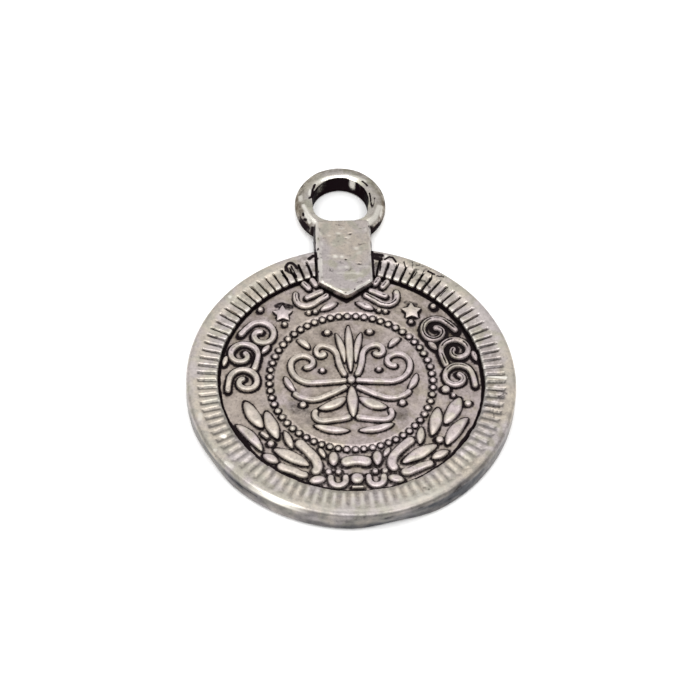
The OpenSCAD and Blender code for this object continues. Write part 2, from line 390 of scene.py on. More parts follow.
def ripple(points, per_mm, seed=0.0):
    """Smooth noise from about -1 to 1 at each point of a plane or of space."""
    points = np.pad(points, [(0, 0), (0, 3 - points.shape[1])])
    return np.array([noise.noise(Vector(p) * per_mm + Vector((seed, seed * 0.7, 3.1))) for p in points])


def line_gap(xy, places):
    """Distance from each point to the line that runs through the places."""
    gap = np.full(len(xy), np.inf)
    places = np.array(places, float)
    for a, b in zip(places, places[1:] if len(places) > 1 else places):
        along = np.clip((xy - a) @ (b - a) / max((b - a) @ (b - a), 1e-9), 0, 1)
        gap = np.minimum(gap, np.linalg.norm(xy - a - along[:, None] * (b - a), axis=1))
    return gap


def draw_marks(xy, marks):
    """Strength from 0 to 1 at each point under marks, each given as [width, strength, places]."""
    return np.max([strength * (1 - soft_step(0.3 * width, 0.75 * width, line_gap(xy, places)))
                   for width, strength, places in marks], axis=0)


print("half way out, a swell has", near_angle(np.array([15]), 0, 30)[0], "of its height")

# %% [markdown]
# ## Ornament as strokes
# Each raised mark is a stroke: a centre line with a width at every station, and a height that falls off
# towards its outline. A bar keeps its width and ends in half circles, a leaf swells between two points, and
# a dot is a bar with no length. Keeping strokes as numbers pays twice: they are raised into meshes, and the
# field below them measures its distance from them to know where patina stayed.


# %% Runs of arcs
def arc_points(at, facing, length, turn, t):
    """Points at the shares t along an arc that starts at a place and heading."""
    if abs(turn) < 1e-4:
        return at + length * t[:, None] * [math.cos(facing), math.sin(facing)]
    r = length / turn
    swing = facing + turn * t
    return at + r * np.stack([np.sin(swing) - math.sin(facing), math.cos(facing) - np.cos(swing)], -1)


def walk(start, heading, moves):
    """Stations and headings along a run of arcs, each given as [length, turn in degrees]."""
    at, facing = np.array(start, float), math.radians(heading)
    centres, headings = [], []
    for length, degrees in moves:
        turn = math.radians(degrees)
        t = np.linspace(0, 1, max(4, math.ceil(length / 0.08)), endpoint=False)
        centres.append(arc_points(at, facing, length, turn, t))
        headings.append(facing + turn * t)
        at, facing = arc_points(at, facing, length, turn, np.array([1.0]))[0], facing + turn
    return np.vstack([*centres, at]), np.append(np.concatenate(headings), facing)


print("a half circle 3 mm long ends at", walk([0, 0], 0, [[3, 180]])[0][-1].round(2))


# %% Bars, leaves and dots
def stroke(centre, heading, half, end):
    """A stroke's stations: place, heading, half width, and how near each is to an end, from 0 to 1."""
    return {"centre": centre, "heading": heading, "half": half, "end": end}


def bar(start, heading, moves, width=LINE_W):
    centre, facing = walk(start, heading, moves)
    r, cap = width / 2, np.radians([90, 74, 57, 40, 22])
    ahead = np.stack([np.cos(facing), np.sin(facing)], -1)
    first = centre[0] - r * np.sin(cap)[:, None] * ahead[0]
    last = centre[-1] + r * np.sin(cap[::-1])[:, None] * ahead[-1]
    straight = np.zeros(len(centre))
    return stroke(np.vstack([first, centre, last]),
                  np.concatenate([[facing[0]] * 5, facing, [facing[-1]] * 5]),
                  r * np.cos(np.concatenate([cap, straight, cap[::-1]])),
                  np.concatenate([np.sin(cap), straight, np.sin(cap[::-1])]))


def leaf(a, b, width, bend=0):
    a, b = np.array(a, float), np.array(b, float)
    chord, turn = np.linalg.norm(b - a), math.radians(bend)
    length = chord if not bend else chord * (turn / 2) / math.sin(turn / 2)
    facing = math.atan2(*(b - a)[::-1]) - turn / 2
    t = (1 - np.cos(np.linspace(0, np.pi, 25))) / 2
    swell = np.sin(np.pi * t).clip(0) ** LEAF_FULLNESS
    return stroke(arc_points(a, facing, length, turn, t), facing + turn * t, width / 2 * swell,
                  np.sqrt(1 - swell ** 2))


def dot(at, diameter):
    swing = np.radians(np.linspace(-90, 90, 15))
    centre = np.array(at, float) + diameter / 2 * np.stack([np.sin(swing), 0 * swing], -1)
    return stroke(centre, 0 * swing, diameter / 2 * np.cos(swing), np.abs(np.sin(swing)))


print("a bar 2 mm long has", len(bar([0, 0], 0, [[2, 0]])["half"]), "stations")


# %% Mirrored and moved strokes
def mirrored(strokes):
    return [stroke(s["centre"] * [-1, 1], np.pi - s["heading"], s["half"], s["end"]) for s in strokes]


def both_sides(strokes):
    return strokes + mirrored(strokes)


def moved(s, flip, offset, degrees):
    """The stroke, turned over if flip is -1, then shifted and turned about the coin's centre."""
    a = math.radians(degrees)
    centre = s["centre"] * [1, flip] + offset
    centre = centre @ np.array([[math.cos(a), math.sin(a)], [-math.sin(a), math.cos(a)]])
    return stroke(centre, flip * s["heading"] + a, s["half"], s["end"])


print("a mirrored dot stands at", mirrored([dot([1, 0], 0.2)])[0]["centre"][7])

# %% [markdown]
# ## The ornament itself
# The laurel, its berries, the ribbon knot, the mirrored scrolls beside the tab and the stars are
# traditional coin ornament. The band's running scroll and the palmette in the middle are plain arabesque of
# the same weight. They repeat the CAD's numbers, so relief and solid lie on one another.

# %% Leaves and berries of the wreath
LAUREL_LEAVES = [
    [[-8.1, -1.66], [-6.85, -4.12], 1.0, 14], [[-6.55, -2.6], [-5.74, -5.15], 0.92, 10],
    [[-8.87, -3.78], [-6.97, -6.23], 0.8, -26], [[-5.24, -4.45], [-4.7, -6.05], 0.58, 4],
    [[-6.13, -6.05], [-3.5, -7.62], 0.92, -4], [[-6.92, -6.53], [-5.8, -7.3], 0.7, 8],
    [[-3.6, -9.04], [-2.3, -8.86], 0.74, 0], [[-2.73, -6.1], [-2.31, -6.96], 0.42, 0],
    [[-1.66, -6.42], [-1.7, -7.7], 0.74, 0],
    [[8.14, -1.7], [6.81, -4.1], 1.0, -14], [[6.42, -2.6], [5.8, -5.12], 0.92, -8],
    [[8.6, -3.6], [6.84, -6.03], 0.9, 24], [[5.05, -4.35], [4.84, -5.9], 0.6, 0],
    [[6.14, -5.99], [3.42, -7.56], 0.92, 4], [[6.95, -6.58], [5.66, -7.2], 0.7, -8],
    [[2.28, -8.76], [3.5, -9.14], 0.74, 12], [[2.56, -6.17], [2.1, -6.97], 0.42, 0],
    [[1.61, -6.42], [1.57, -7.72], 0.74, 0],
]
LAUREL_STEMS = [
    [[-4.12, -5.66], -48, [[1.5, -7], [0.9, -30], [0.5, -45]], 0.74],
    [[-5.6, -7.7], -34, [[0.75, 18], [0.6, -22], [0.5, 28]], 0.64], [[-6.9, -4.68], -42, [[0.45, 0]], 0.32],
    [[4.13, -5.6], -141, [[1.56, 10], [0.9, 34], [0.5, 45]], 0.68],
    [[5.45, -7.73], -164, [[1.0, 10], [0.6, 0], [0.4, -38]], 0.62],
]
LAUREL = [leaf(*row) for row in LAUREL_LEAVES] + [bar(*row) for row in LAUREL_STEMS]
BERRIES = [
    dot([-6.3, -5.6], 0.5), dot([6.35, -5.55], 0.58), dot([8.7, -2.3], 0.55), dot([7.1, -0.95], 0.65),
    dot([7.65, -1.55], 0.34)]
print("laurel strokes:", len(LAUREL), "and berries:", len(BERRIES))

# %% Ribbon knot below, and scrolls beside the tab
RIBBON_KNOT = [
    bar([-0.72, -7.38], 20, [[1.48, -40]], 0.85), dot([0, -8.88], 0.95),
    bar([-0.35, -9.72], 0, [[0.7, 0]], 0.2),
] + both_sides([
    bar([0.86, -8.78], -90, [[0.2, 0], [1.75, 180], [0.2, 0]], 0.46),
    dot([1.37, -8.28], 0.44), dot([2.1, -8.28], 0.46),
])
TAB_SCROLLS = both_sides([
    bar([-2.55, 9.58], -60, [[0.5, 0]], 0.46), bar([-3.2, 9.28], -52, [[0.55, 0]], 0.46),
    bar([-3.0, 7.95], 26, [[1.2, 0]]),
    bar([-3.88, 8.25], -102, [[0.7, 35], [0.8, 65], [0.75, 40], [1.2, -4]]),
    leaf([-2.05, 6.72], [-0.72, 7.45], 0.56), dot([-2.95, 6.5], 0.36), dot([-2.45, 6.6], 0.36),
])
print("knot strokes:", len(RIBBON_KNOT), "and scrolls:", len(TAB_SCROLLS))

# %% Running scroll of the band, and the palmette in the middle
BAND_R, BAND_FIRST, BAND_PITCH = 8.3, 53, 16.5
BAND_CURL = bar([1.28, -1.0], 180, [[1.1, -10], [3.1, -170], [1.65, -130], [0.85, -115]])


def on_band(s, flip=1, place=0):
    """The stroke, carried out to the band and round it to one of its places."""
    return moved(s, flip, [0, BAND_R], -(BAND_FIRST + BAND_PITCH * place))


band_half = [on_band(BAND_CURL, flip, place) for place, flip in enumerate((-1, 1, -1))]
band_half += [
    on_band(leaf([0.84, -1.36], [1.84, -1.3], 0.42)), on_band(leaf([0.84, 1.36], [1.84, 1.3], 0.42), place=1),
    on_band(dot([-1.5, 1.15], 0.44)), on_band(dot([-1.45, -1.15], 0.36))]
BAND_SCROLLWORK = both_sides(band_half)
PALMETTE = [
    leaf([0, 0.85], [0, 5.3], 0.62), leaf([0, -3.3], [0, -0.4], 0.8), dot([0, 0.12], 0.62),
] + both_sides([
    bar([0.5, 0.65], 64, [[1.7, 22], [1.6, -80], [1.15, -125], [0.6, -110]]),
    bar([0.55, 0.05], -6, [[2.4, 5], [2.6, 95], [2.1, 130], [1.2, 140]]),
    bar([0.55, -0.6], -30, [[1.9, 5], [1.9, 60], [0.3, 10]]),
    bar([0.4, -3.35], -14, [[1.9, 10], [1.0, 95], [0.25, 30]]),
    leaf([0.42, 1.75], [0.98, 4.55], 0.5, -16),
    leaf([0.5, -1.45], [2.6, -2.45], 0.8, 40), leaf([0.35, -4.5], [3.0, -3.95], 0.6, 35),
    leaf([4.3, -0.85], [5.0, 0.6], 0.5, 30), leaf([3.05, 3.1], [3.95, 3.95], 0.5, -40),
    dot([3.75, -2.1], 0.5), dot([1.62, 4.6], 0.5), dot([2.15, 1.05], 0.4),
])
ALL_STROKES = LAUREL + BERRIES + RIBBON_KNOT + TAB_SCROLLS + BAND_SCROLLWORK + PALMETTE
print("strokes:", len(ALL_STROKES))

# %% [markdown]
# ## Raised strokes
# On the real coin the relief was cut into the mould, so each mark has a flat crown, a rounded shoulder and
# steep sides. A displaced sheet would need millions of faces for such sides. Instead, every stroke is swept
# as its own closed strip that reaches a little into the field. Its width wavers and its crown has shallow
# dents, as on a casting.

# %% Sweep one stroke
ACROSS = np.sin(np.radians(np.linspace(-90, 90, 15)))
AROUND = len(ACROSS) + 2
WAVER, DENT, FOOT_DEPTH = 0.16, 0.07, 0.12


def sweep(s):
    """Points of the closed strip, row by row. Then, for each, 1 at the outline, and 0 on the centre line."""
    rows = len(s["half"])
    side = np.stack([-np.sin(s["heading"]), np.cos(s["heading"])], -1)
    half = s["half"] * (1 + WAVER * ripple(s["centre"], 0.9, 31))
    flat = s["centre"][:, None] + (half[:, None] * ACROSS)[..., None] * side[:, None]
    outward = np.sqrt(s["end"][:, None] ** 2 + ACROSS ** 2 * (1 - s["end"][:, None] ** 2)).clip(0, 1)
    dents = ripple(flat.reshape(-1, 2), 1.5, 33).reshape(outward.shape).clip(-0.1, 0.8)
    crown = FIELD_Z + RELIEF_H * np.sqrt(1 - outward ** 5) - DENT * dents * soft_step(1.0, 0.7, outward)
    top = np.concatenate([flat, crown[..., None]], -1)
    foot = np.concatenate([flat[:, [-1, 0]], np.full((rows, 2, 1), FIELD_Z - FOOT_DEPTH)], -1)
    edge, middle = (np.concatenate([v, np.ones((rows, 2))], 1).ravel()
                    for v in (outward, np.abs(ACROSS) + s["end"][:, None]))
    return np.concatenate([top, foot], 1).reshape(-1, 3), edge, middle


print("points in one laurel leaf:", len(sweep(LAUREL[0])[0]))


# %% Raise the ornament
def raise_strokes(name, strokes, worn, centre_line):
    """Closed strips for all strokes in one piece. The right of the band is duller than the rest."""
    points, edge, middle = (np.concatenate(part) for part in zip(*[sweep(s) for s in strokes]))
    lengths = [len(s["half"]) for s in strokes]
    starts = AROUND * (np.cumsum(lengths) - lengths)
    faces = [loop_faces(rows, AROUND) + start for rows, start in zip(lengths, starts)]
    dull = near_angle(compass(points[:, :2]), 62, 44) * (np.hypot(*points[:, :2].T) > BAND_INNER_R)
    broken = soft_step(-0.3, 0.2, ripple(points, 1.3, 41))
    line = (centre_line + 0.45 * dull * (centre_line > 0)) * broken * (1 - soft_step(0.08, 0.5, middle))
    shoulder = soft_step(0.35, 0.7, edge) * (1 - soft_step(0.7, 0.85, edge))
    make_piece(name, points, np.vstack(faces), relief_silver, stain=0.4 * dull,
               patina=0.8 * soft_step(0.94, 1.0, edge) + line + 0.08 * dull,
               rubbed=worn * shoulder * (1 - dull))


# Columns: piece, strokes, how far the shoulders are rubbed, how black the centre line is
for relief_piece in [
        ("laurel", LAUREL, 0.12, 0), ("berries", BERRIES, 0.1, 0), ("ribbon_knot", RIBBON_KNOT, 0.2, 0),
        ("tab_scrolls", TAB_SCROLLS, 0.2, 0.72), ("band_scrollwork", BAND_SCROLLWORK, 0.2, 0.4),
        ("palmette", PALMETTE, 0.2, 0.35)]:
    raise_strokes(*relief_piece)

# %% [markdown]
# ## Stars
# Two five-pointed stars stand beside the tab. Each is a low peak: ridges run from the centre to the points
# and valleys to the inner corners. Rings of ten points, each higher than the last and the upper ones
# smaller, give those facets and their worn, sloping edge.

# %% Two faceted stars
STAR_R, STAR_AT = 0.92, np.array([4.95, 6.5])
# Columns: share of the outline, height over the field, how black
STAR_RINGS = [(1, -FOOT_DEPTH, 1), (1, 0.02, 0.9), (0.88, 0.15, 0.15), (0.45, 0.22, 0), (0, 0.26, 0)]
star_swing = np.radians(36 * np.arange(10))
star_reach = STAR_R * np.where(np.arange(10) % 2 == 0, 0.95, 0.52)
star_outline = star_reach[:, None] * np.stack([np.sin(star_swing), np.cos(star_swing)], -1)
star_points, star_faces, star_patina = [], [], []
for side in (-1, 1):
    base = len(star_points)
    for share, height, dark in STAR_RINGS:
        star_points += [[*(STAR_AT * [side, 1] + share * p), FIELD_Z + height] for p in star_outline]
        star_patina += [dark] * 10
    star_faces += [[base + v for v in quad] for quad in loop_faces(len(STAR_RINGS), 10)]
    star_faces.append([base + v for v in range(9, -1, -1)])
make_piece("stars", star_points, star_faces, relief_silver, 20, patina=star_patina,
           rubbed=0.04 * (1 - np.array(star_patina)))

# %% [markdown]
# ## The sunk field
# The ground behind the ornament is one disc that runs under everything else. It is meshed in rings, where
# ring k has 6k points, so its triangles are even and small enough to carry the thin dark outlines. The same
# disc closes down the side, inside the rim, and makes the plain back.

# %% Rings of the field
RING_COUNT, FIELD_EDGE_R = 146, 10.1
field_points = [np.zeros((1, 2))]
field_faces = []
first = 1
for k in range(1, RING_COUNT + 1):
    swing = 2 * np.pi * np.arange(6 * k) / (6 * k)
    field_points.append(k * FIELD_EDGE_R / RING_COUNT * np.stack([np.cos(swing), np.sin(swing)], -1))
    sector, i = (v.ravel() for v in np.meshgrid(np.arange(6), np.arange(k), indexing="ij"))
    outer = first + sector * k + i
    outer_next = first + (sector * k + i + 1) % (6 * k)
    before = first - 6 * (k - 1) if k > 1 else 0
    inner_count = max(1, 6 * (k - 1))
    inner = before + (sector * (k - 1) + i) % inner_count
    inner_next = before + (sector * (k - 1) + i + 1) % inner_count
    field_faces.append(np.stack([outer, outer_next, inner], -1))
    field_faces.append(np.stack([inner, outer_next, inner_next], -1)[i < k - 1])
    first += 6 * k
field_xy = np.vstack(field_points)
field_r = np.hypot(*field_xy.T)
print("field points:", len(field_xy))


# %% Distance from the ornament, the beads and the tab
def gap_to_strokes(xy, strokes, reach=0.7):
    """Distance from each point to the outline of the nearest stroke, up to reach."""
    gap = np.full(len(xy), reach)
    for s in strokes:
        low = (s["centre"] - s["half"][:, None]).min(0) - reach
        high = (s["centre"] + s["half"][:, None]).max(0) + reach
        near = np.flatnonzero(((xy > low) & (xy < high)).all(1))
        apart = np.linalg.norm(xy[near, None] - s["centre"], axis=-1) - s["half"]
        gap[near] = np.minimum(gap[near], apart.min(1))
    return gap


def discs(centres, r):
    """Round discs as one stroke, which measures like them."""
    return stroke(centres, np.zeros(len(centres)), np.full(len(centres), r), np.zeros(len(centres)))


# The edges of the tab's point slant: this share of the way down to one is the distance from it
POINT_SHARE = 0.82
bead_swing = np.radians(90 + 360 * np.arange(BEAD_COUNT) / BEAD_COUNT)
bead_centres = BEAD_CIRCLE_R * np.stack([np.cos(bead_swing), np.sin(bead_swing)], -1)
bead_gap = gap_to_strokes(field_xy, [discs(centre[None], BEAD_R) for centre in bead_centres])
star_arms = 0.45 * np.stack([np.sin(star_swing), np.cos(star_swing)], -1)[::2]
star_discs = [discs(STAR_AT * [side, 1] + star_arms, 0.22) for side in (-1, 1)]
stroke_gap = gap_to_strokes(field_xy, ALL_STROKES + star_discs)
point_edge_y = TAB_POINT_Y + TAB_POINT_SLOPE * np.abs(field_xy[:, 0])
tab_gap = np.maximum(np.abs(field_xy[:, 0]) - NECK_HALF, (point_edge_y - field_xy[:, 1]) * POINT_SHARE)
print("points close to the ornament:", int((stroke_gap < 0.2).sum()))

# %% Black on the field, and two rings of painted shade in the bead channel on the lower side
# Each mark is a width, a strength and the places that its line runs through
FIELD_MARKS = [
    [1.3, 0.34, [[-4.3, -2.25], [-3.7, -2.6]]], [1.0, 0.3, [[3.6, -3.1]]],
    [0.5, 0.75, [[-5.35, 7.3], [-4.95, 7.45], [-4.3, 7.2]]], [0.45, 0.6, [[4.6, 7.4], [5.3, 7.2]]],
    [0.35, 0.8, [[-4.95, 5.75]]], [0.35, 0.8, [[4.95, 5.7]]]]
# Two rings of painted shade darken the bead channel on the lower side, outside and inside the beads
OUTER_LINE_R, INNER_LINE_R, FIELD_WALL_R = 6.62, 5.82, 10.0
field_facing, uneven = compass(field_xy), ripple(field_xy, 1.6, 6)
band_ground = soft_step(BAND_INNER_R, 6.7, field_r)
# Beside the medallion the black lies thicker round the scrolls
dense = lobes(field_facing, [[1.5, 66, 48], [1.1, 284, 42], [0.95, 180, 95]], np.max) * band_ground
outline_black = 0.78 + 0.14 * dense - 0.2 * near_angle(field_facing, 180, 95) * band_ground
channel_width = 0.14 + 0.08 * uneven + lobes(field_facing, [
    [0.15, 74, 32], [0.32, 240, 14], [0.2, 125, 16], [0.22, 212, 34], [-0.1, 318, 55]])
field_patina = np.maximum.reduce([
    outline_black * (1 - soft_step(0.04, 0.23, stroke_gap / (1 + 0.7 * dense) + 0.03 * uneven)),
    0.75 * (1 - soft_step(0.05, 0.25, bead_gap)),
    # Painted shade: the two rings in the bead channel on the lower side
    0.4 * near_angle(field_facing, 172, 62) * soft_step(0.16, 0.03, np.abs(field_r - OUTER_LINE_R)),
    0.42 * near_angle(field_facing, 180, 75) * soft_step(0.1, 0.02, np.abs(field_r - INNER_LINE_R)),
    1 - soft_step(0.05, 0.28, tab_gap),
    soft_step(FIELD_WALL_R - 0.05 - channel_width, FIELD_WALL_R - channel_width * 0.5, field_r),
    draw_marks(field_xy, FIELD_MARKS),
])
print("blackened points:", int((field_patina > 0.5).sum()))

# %% Brown haze and grey smears on the field
# Columns: place, reach and strength of each cloud of haze
HAZE = [[-4.2, -2.3, 1.2, 0.9], [-3.5, -2.75, 0.9, 0.8], [3.6, -3.1, 1.0, 0.7], [1.4, 4.0, 1.0, 0.6],
        [-4.0, 3.0, 0.9, 0.5], [-6.3, 6.9, 0.8, 0.5], [4.4, 0.4, 0.9, 0.4], [0.6, -4.2, 0.8, 0.5]]
SMEARS = [[1.2, 0.5, [[-4.35, -2.2], [-3.8, -2.5]]], [1.1, 0.42, [[3.6, -3.1]]], [1.5, 0.24, [[1.5, 3.9]]],
          [1.0, 0.26, [[-3.2, -3.4]]], [1.2, 0.2, [[-1.6, 4.5]]]]
in_medallion, near_strokes = 1 - soft_step(5.6, 5.9, field_r), 1 - soft_step(0.1, 0.45, stroke_gap)
field_stain = 0.26 * in_medallion + 0.3 * near_strokes \
    + (0.15 + lobes(field_facing, [[0.55, 62, 44], [0.3, 300, 40]])) * soft_step(BAND_INNER_R, 7.0, field_r)
for x, y, reach, strength in HAZE:
    cloud = strength * (1 - soft_step(0, reach, np.hypot(*(field_xy - [x, y]).T)))
    field_stain = np.maximum(field_stain, cloud)
field_film = draw_marks(field_xy, SMEARS) * (0.8 + 0.5 * uneven)
print("smeared points:", int((field_film > 0.1).sum()))

# %% Sink the channel, and close the disc down its side and across the back
# Columns: radius, height, black, haze
BACK_ROWS = np.array([
    (10.2, 1.3, 1, 0), (11.44, 0.2, 1, 0), (11.5, BACK_Z, 1, 0), (11.2, BACK_Z, 0.35, 0.2),
    (9, BACK_Z, 0.1, 0.35), (6, BACK_Z, 0.05, 0.15), (3, BACK_Z, 0.1, 0.3), (0, BACK_Z, 0.1, 0.3)])
from_bead_circle, half_channel = np.abs(field_r - BEAD_CIRCLE_R), BEAD_CHANNEL_W / 2
bead_channel = 1 - soft_step(half_channel - 0.07, half_channel + 0.03, from_bead_circle)
rim_channel = soft_step(FIELD_WALL_R - 0.07, FIELD_WALL_R, field_r)
field_z = FIELD_Z - CHANNEL_DEPTH * np.maximum(bead_channel, rim_channel) \
    + 0.012 * ripple(field_xy, 0.5) + 0.006 * uneven
edge_count = 6 * RING_COUNT
edge_ring = field_xy[-edge_count:] / FIELD_EDGE_R
back_points = [np.c_[r * edge_ring, np.full(edge_count, z)] for r, z, _, _ in BACK_ROWS]
back_faces = loop_faces(len(BACK_ROWS) + 1, edge_count) + len(field_xy) - edge_count
_, _, back_patina, back_stain = np.repeat(BACK_ROWS, edge_count, axis=0).T
make_piece("field", np.vstack([np.c_[field_xy, field_z], *back_points]),
           np.vstack(field_faces).tolist() + back_faces.tolist(), field_silver,
           patina=np.append(field_patina, back_patina), stain=np.append(field_stain, back_stain),
           film=np.append(field_film, 0 * back_stain))

# %% [markdown]
# ## The toothed rim
# A hundred teeth run round the coin inside a smooth border. They follow one rule, so Geometry Nodes make
# them: the tree takes the rim's section, a chain of points, bends a grid round the coin to it, and lowers
# the grid wherever a point lies between two teeth. Signed distance to a rounded bar decides that. In the
# photograph the grooves are crisp at the top of the coin and worn soft at the bottom, so the softness
# changes with the place on the rim.

# %% Section of the rim, from its inner wall over the border to the back
INNER_WALL_R, EDGE_R, BORDER_R = 9.98, COIN_R - 0.005, 12.1
EDGE_Z, EDGE_ROUND, FOOT_ROUND = COIN_THICK - 0.01, 0.3, 0.45
# Rows are close together where the teeth start and end
teeth_r = np.concatenate([np.arange(10.02, 10.34, 0.032), np.arange(10.36, 11.42, 0.08),
                          np.arange(11.45, 12.0, 0.06)])
# Sine and cosine, step by step through a quarter circle
sines = np.sin(np.radians(np.linspace(0, 90, 8)))
quarter = np.c_[sines, sines[::-1]]
section = [[INNER_WALL_R, 1.26], [INNER_WALL_R, 1.38]] + [[r, COIN_THICK] for r in teeth_r]
section += [[BORDER_R, COIN_THICK - 0.006]]
section += [[EDGE_R - EDGE_ROUND * (1 - s), EDGE_Z - EDGE_ROUND * (1 - c)] for s, c in quarter]
section += [[EDGE_R, z] for z in (1.5, 1.35, 1.2, 1.0, 0.8, 0.6)]
section += [[EDGE_R - FOOT_ROUND * (1 - c), FOOT_ROUND * (1 - s)] for s, c in quarter]
section += [[11.85, 0], [11.62, 0], [11.56, 0.03], [11.47, 0.08], [11.42, 0.16], [11.2, 0.35]]
section.append(section[0])
print("section rows:", len(section))


# %% Start, end and run a Geometry Nodes tree
def new_tree(name, inputs):
    """A bench for a new tree, with inputs given as name and kind, and a function that reads one by name."""
    tree = bpy.data.node_groups.new(name, "GeometryNodeTree")
    for label, kind in inputs.items():
        tree.interface.new_socket(label, in_out="INPUT", socket_type="NodeSocket" + kind)
    tree.interface.new_socket("Geometry", in_out="OUTPUT", socket_type="NodeSocketGeometry")
    bench, given = Bench(tree), tree.nodes.new("NodeGroupInput")
    return bench, lambda label: Value(bench, given.outputs[label])


def end_tree(bench, geometry, material):
    """Takes the geometry from millimetres to the frame, makes it real and gives it its material."""
    placed = bench.node("GeometryNodeTransform", None, {
        "Geometry": geometry, "Translation": (0, -MIDDLE_Y * MM, 0), "Scale": (MM, MM, MM)})
    real = bench.node("GeometryNodeRealizeInstances", None, {"Geometry": placed})
    dressed = bench.node("GeometryNodeSetMaterial", None, {"Geometry": real, "Material": material})
    bench.tree.links.new(dressed.socket, bench.tree.nodes.new("NodeGroupOutput").inputs["Geometry"])
    return bench.tree


def run_tree(name, tree, start_mesh, sizes):
    """Runs the tree on an object and keeps the result as a plain mesh."""
    piece = add_object(name, start_mesh)
    modifier = piece.modifiers.new(name, "NODES")
    modifier.node_group = tree
    for item in tree.interface.items_tree:
        if item.in_out == "INPUT" and item.name in sizes:
            modifier[item.identifier] = sizes[item.name]
    grown = bpy.data.meshes.new_from_object(piece.evaluated_get(bpy.context.evaluated_depsgraph_get()))
    piece.modifiers.remove(modifier)
    piece.data = grown
    grown.name = name
    return piece


print("node groups so far:", len(bpy.data.node_groups))


# %% How far a point lies inside the groove between two teeth
def groove_gap(bench, size, across, cosine, sine, radius):
    """Distance to the nearest groove's outline, below 0 inside it, and the radius where it starts."""
    teeth = size("Teeth")
    count = across * teeth + 0.5 - cosine * size("Drift across") - sine * size("Drift along")
    tooth = count.nearest()
    own = bench.node("ShaderNodeMath", {"operation": "FLOORED_MODULO"}, {0: tooth, 1: teeth})
    chance = bench.node("FunctionNodeRandomValue", {"data_type": "FLOAT"},
                        {"Min": -1.0, "Max": 1.0, "ID": own, "Seed": 7}, "Value")
    aside = (count - tooth).size() / teeth * (2 * math.pi) * radius
    taper = 1.05 - bench.step(radius, 10.2, 11.6) * 0.35
    half = radius * math.pi / teeth - size("Groove width") * (0.5 + chance * 0.12) * taper
    corner, inner = 0.15, size("Inner radius") + chance * 0.035
    beside, before = aside - half + corner, inner + corner - radius
    outside = ((beside.most(0) * beside.most(0)) + (before.most(0) * before.most(0))).root()
    gap = outside + beside.most(before).least(0) - corner
    return gap.least(size("Outer radius") + chance * 0.06 - radius), inner


print("teeth stand", round(2 * math.pi * TOOTH_INNER_R / TOOTH_COUNT, 2), "mm apart at their inner ends")


# %% The tree that bends the grid and presses the grooves
def toothed_rim_tree():
    bench, size = new_tree("toothed rim", {
        "Geometry": "Geometry", "Teeth": "Int", "Steps for each tooth": "Int", "Rows": "Int",
        **dict.fromkeys(["Inner radius", "Outer radius", "Groove width", "Border height", "Tooth height",
                         "Groove floor", "Channel floor", "Drift across", "Drift along"], "Float")})

    def axes(vector):
        return [bench.node("ShaderNodeSeparateXYZ", None, {0: vector}, axis) for axis in "XYZ"]

    def compare(a, operation, b):
        settings = {"data_type": "FLOAT", "operation": operation}
        return bench.node("FunctionNodeCompare", settings, {"A": a, "B": b})

    # A flat grid, with one row for each point of the section's chain
    grid = bench.node("GeometryNodeMeshGrid", None, {
        "Size X": 1.0, "Size Y": size("Rows") - 1,
        "Vertices X": size("Teeth") * size("Steps for each tooth") + 1, "Vertices Y": size("Rows")})
    across, along, _ = axes(bench.node("GeometryNodeInputPosition"))
    row = (along + (size("Rows") - 1) * 0.5).nearest()
    chain = bench.node("GeometryNodeSampleIndex", {"data_type": "FLOAT_VECTOR"}, {
        "Geometry": size("Geometry"), "Value": bench.node("GeometryNodeInputPosition"), "Index": row})
    radius, _, height = axes(chain)
    swing = across * (2 * math.pi)
    cosine, sine = swing.cosine(), swing.sine()

    # Low on the coin the grooves are worn soft and shallow
    gap, inner = groove_gap(bench, size, across, cosine, sine, radius)
    worn, shallow = bench.step(-sine, -0.35, 0.7), bench.step(-sine, -0.6, 0.5)
    soft = 0.05 + shallow * 0.12 + worn * 0.08
    groove = bench.step(gap, -soft * 1.25, soft * 0.6)
    rise = (size("Border height") - size("Tooth height")) * bench.step(radius, 11.3, 11.8)
    crest = size("Tooth height") + rise - bench.step(inner + 0.35 - radius, 0.0, 0.35) * (0.03 + worn * 0.03)
    depth = size("Groove floor") + shallow * 0.14 - size("Channel floor")
    low = size("Channel floor") + depth * bench.step(radius, inner - 0.06, inner + 0.05)
    pressed = crest + (low - crest) * groove

    # Only the rows between the inner wall and the border are pressed
    on_top = bench.node("FunctionNodeBooleanMath", {"operation": "AND"}, {
        0: compare(height, "GREATER_THAN", 1.93), 1: compare(radius, "LESS_THAN", 11.99)})
    level = bench.node("GeometryNodeSwitch", {"input_type": "FLOAT"}, {
        "Switch": on_top, "False": height, "True": pressed})
    place = bench.node("ShaderNodeCombineXYZ", None, {"X": radius * cosine, "Y": radius * sine, "Z": level})
    bent = bench.node("GeometryNodeSetPosition", None, {"Geometry": grid, "Position": place})
    merged = bench.node("GeometryNodeMergeByDistance", None, {"Geometry": bent, "Distance": 0.001})
    return end_tree(bench, merged, rim_silver)


chain_mesh = bpy.data.meshes.new("rim section")
chain_mesh.from_pydata([(r, 0, z) for r, z in section], [(i, i + 1) for i in range(len(section) - 1)], [])
rim = run_tree("rim", toothed_rim_tree(), chain_mesh, {
    "Teeth": TOOTH_COUNT, "Steps for each tooth": 13, "Rows": len(section), "Inner radius": TOOTH_INNER_R,
    "Outer radius": TOOTH_OUTER_R, "Groove width": 0.12, "Border height": COIN_THICK, "Tooth height": TOOTH_Z,
    "Groove floor": TOOTH_FLOOR_Z, "Channel floor": CHANNEL_Z - 0.02,
    "Drift across": TOOTH_DRIFT[0], "Drift along": TOOTH_DRIFT[1]})
close_mesh(rim.data)
print("rim points:", len(rim.data.vertices))
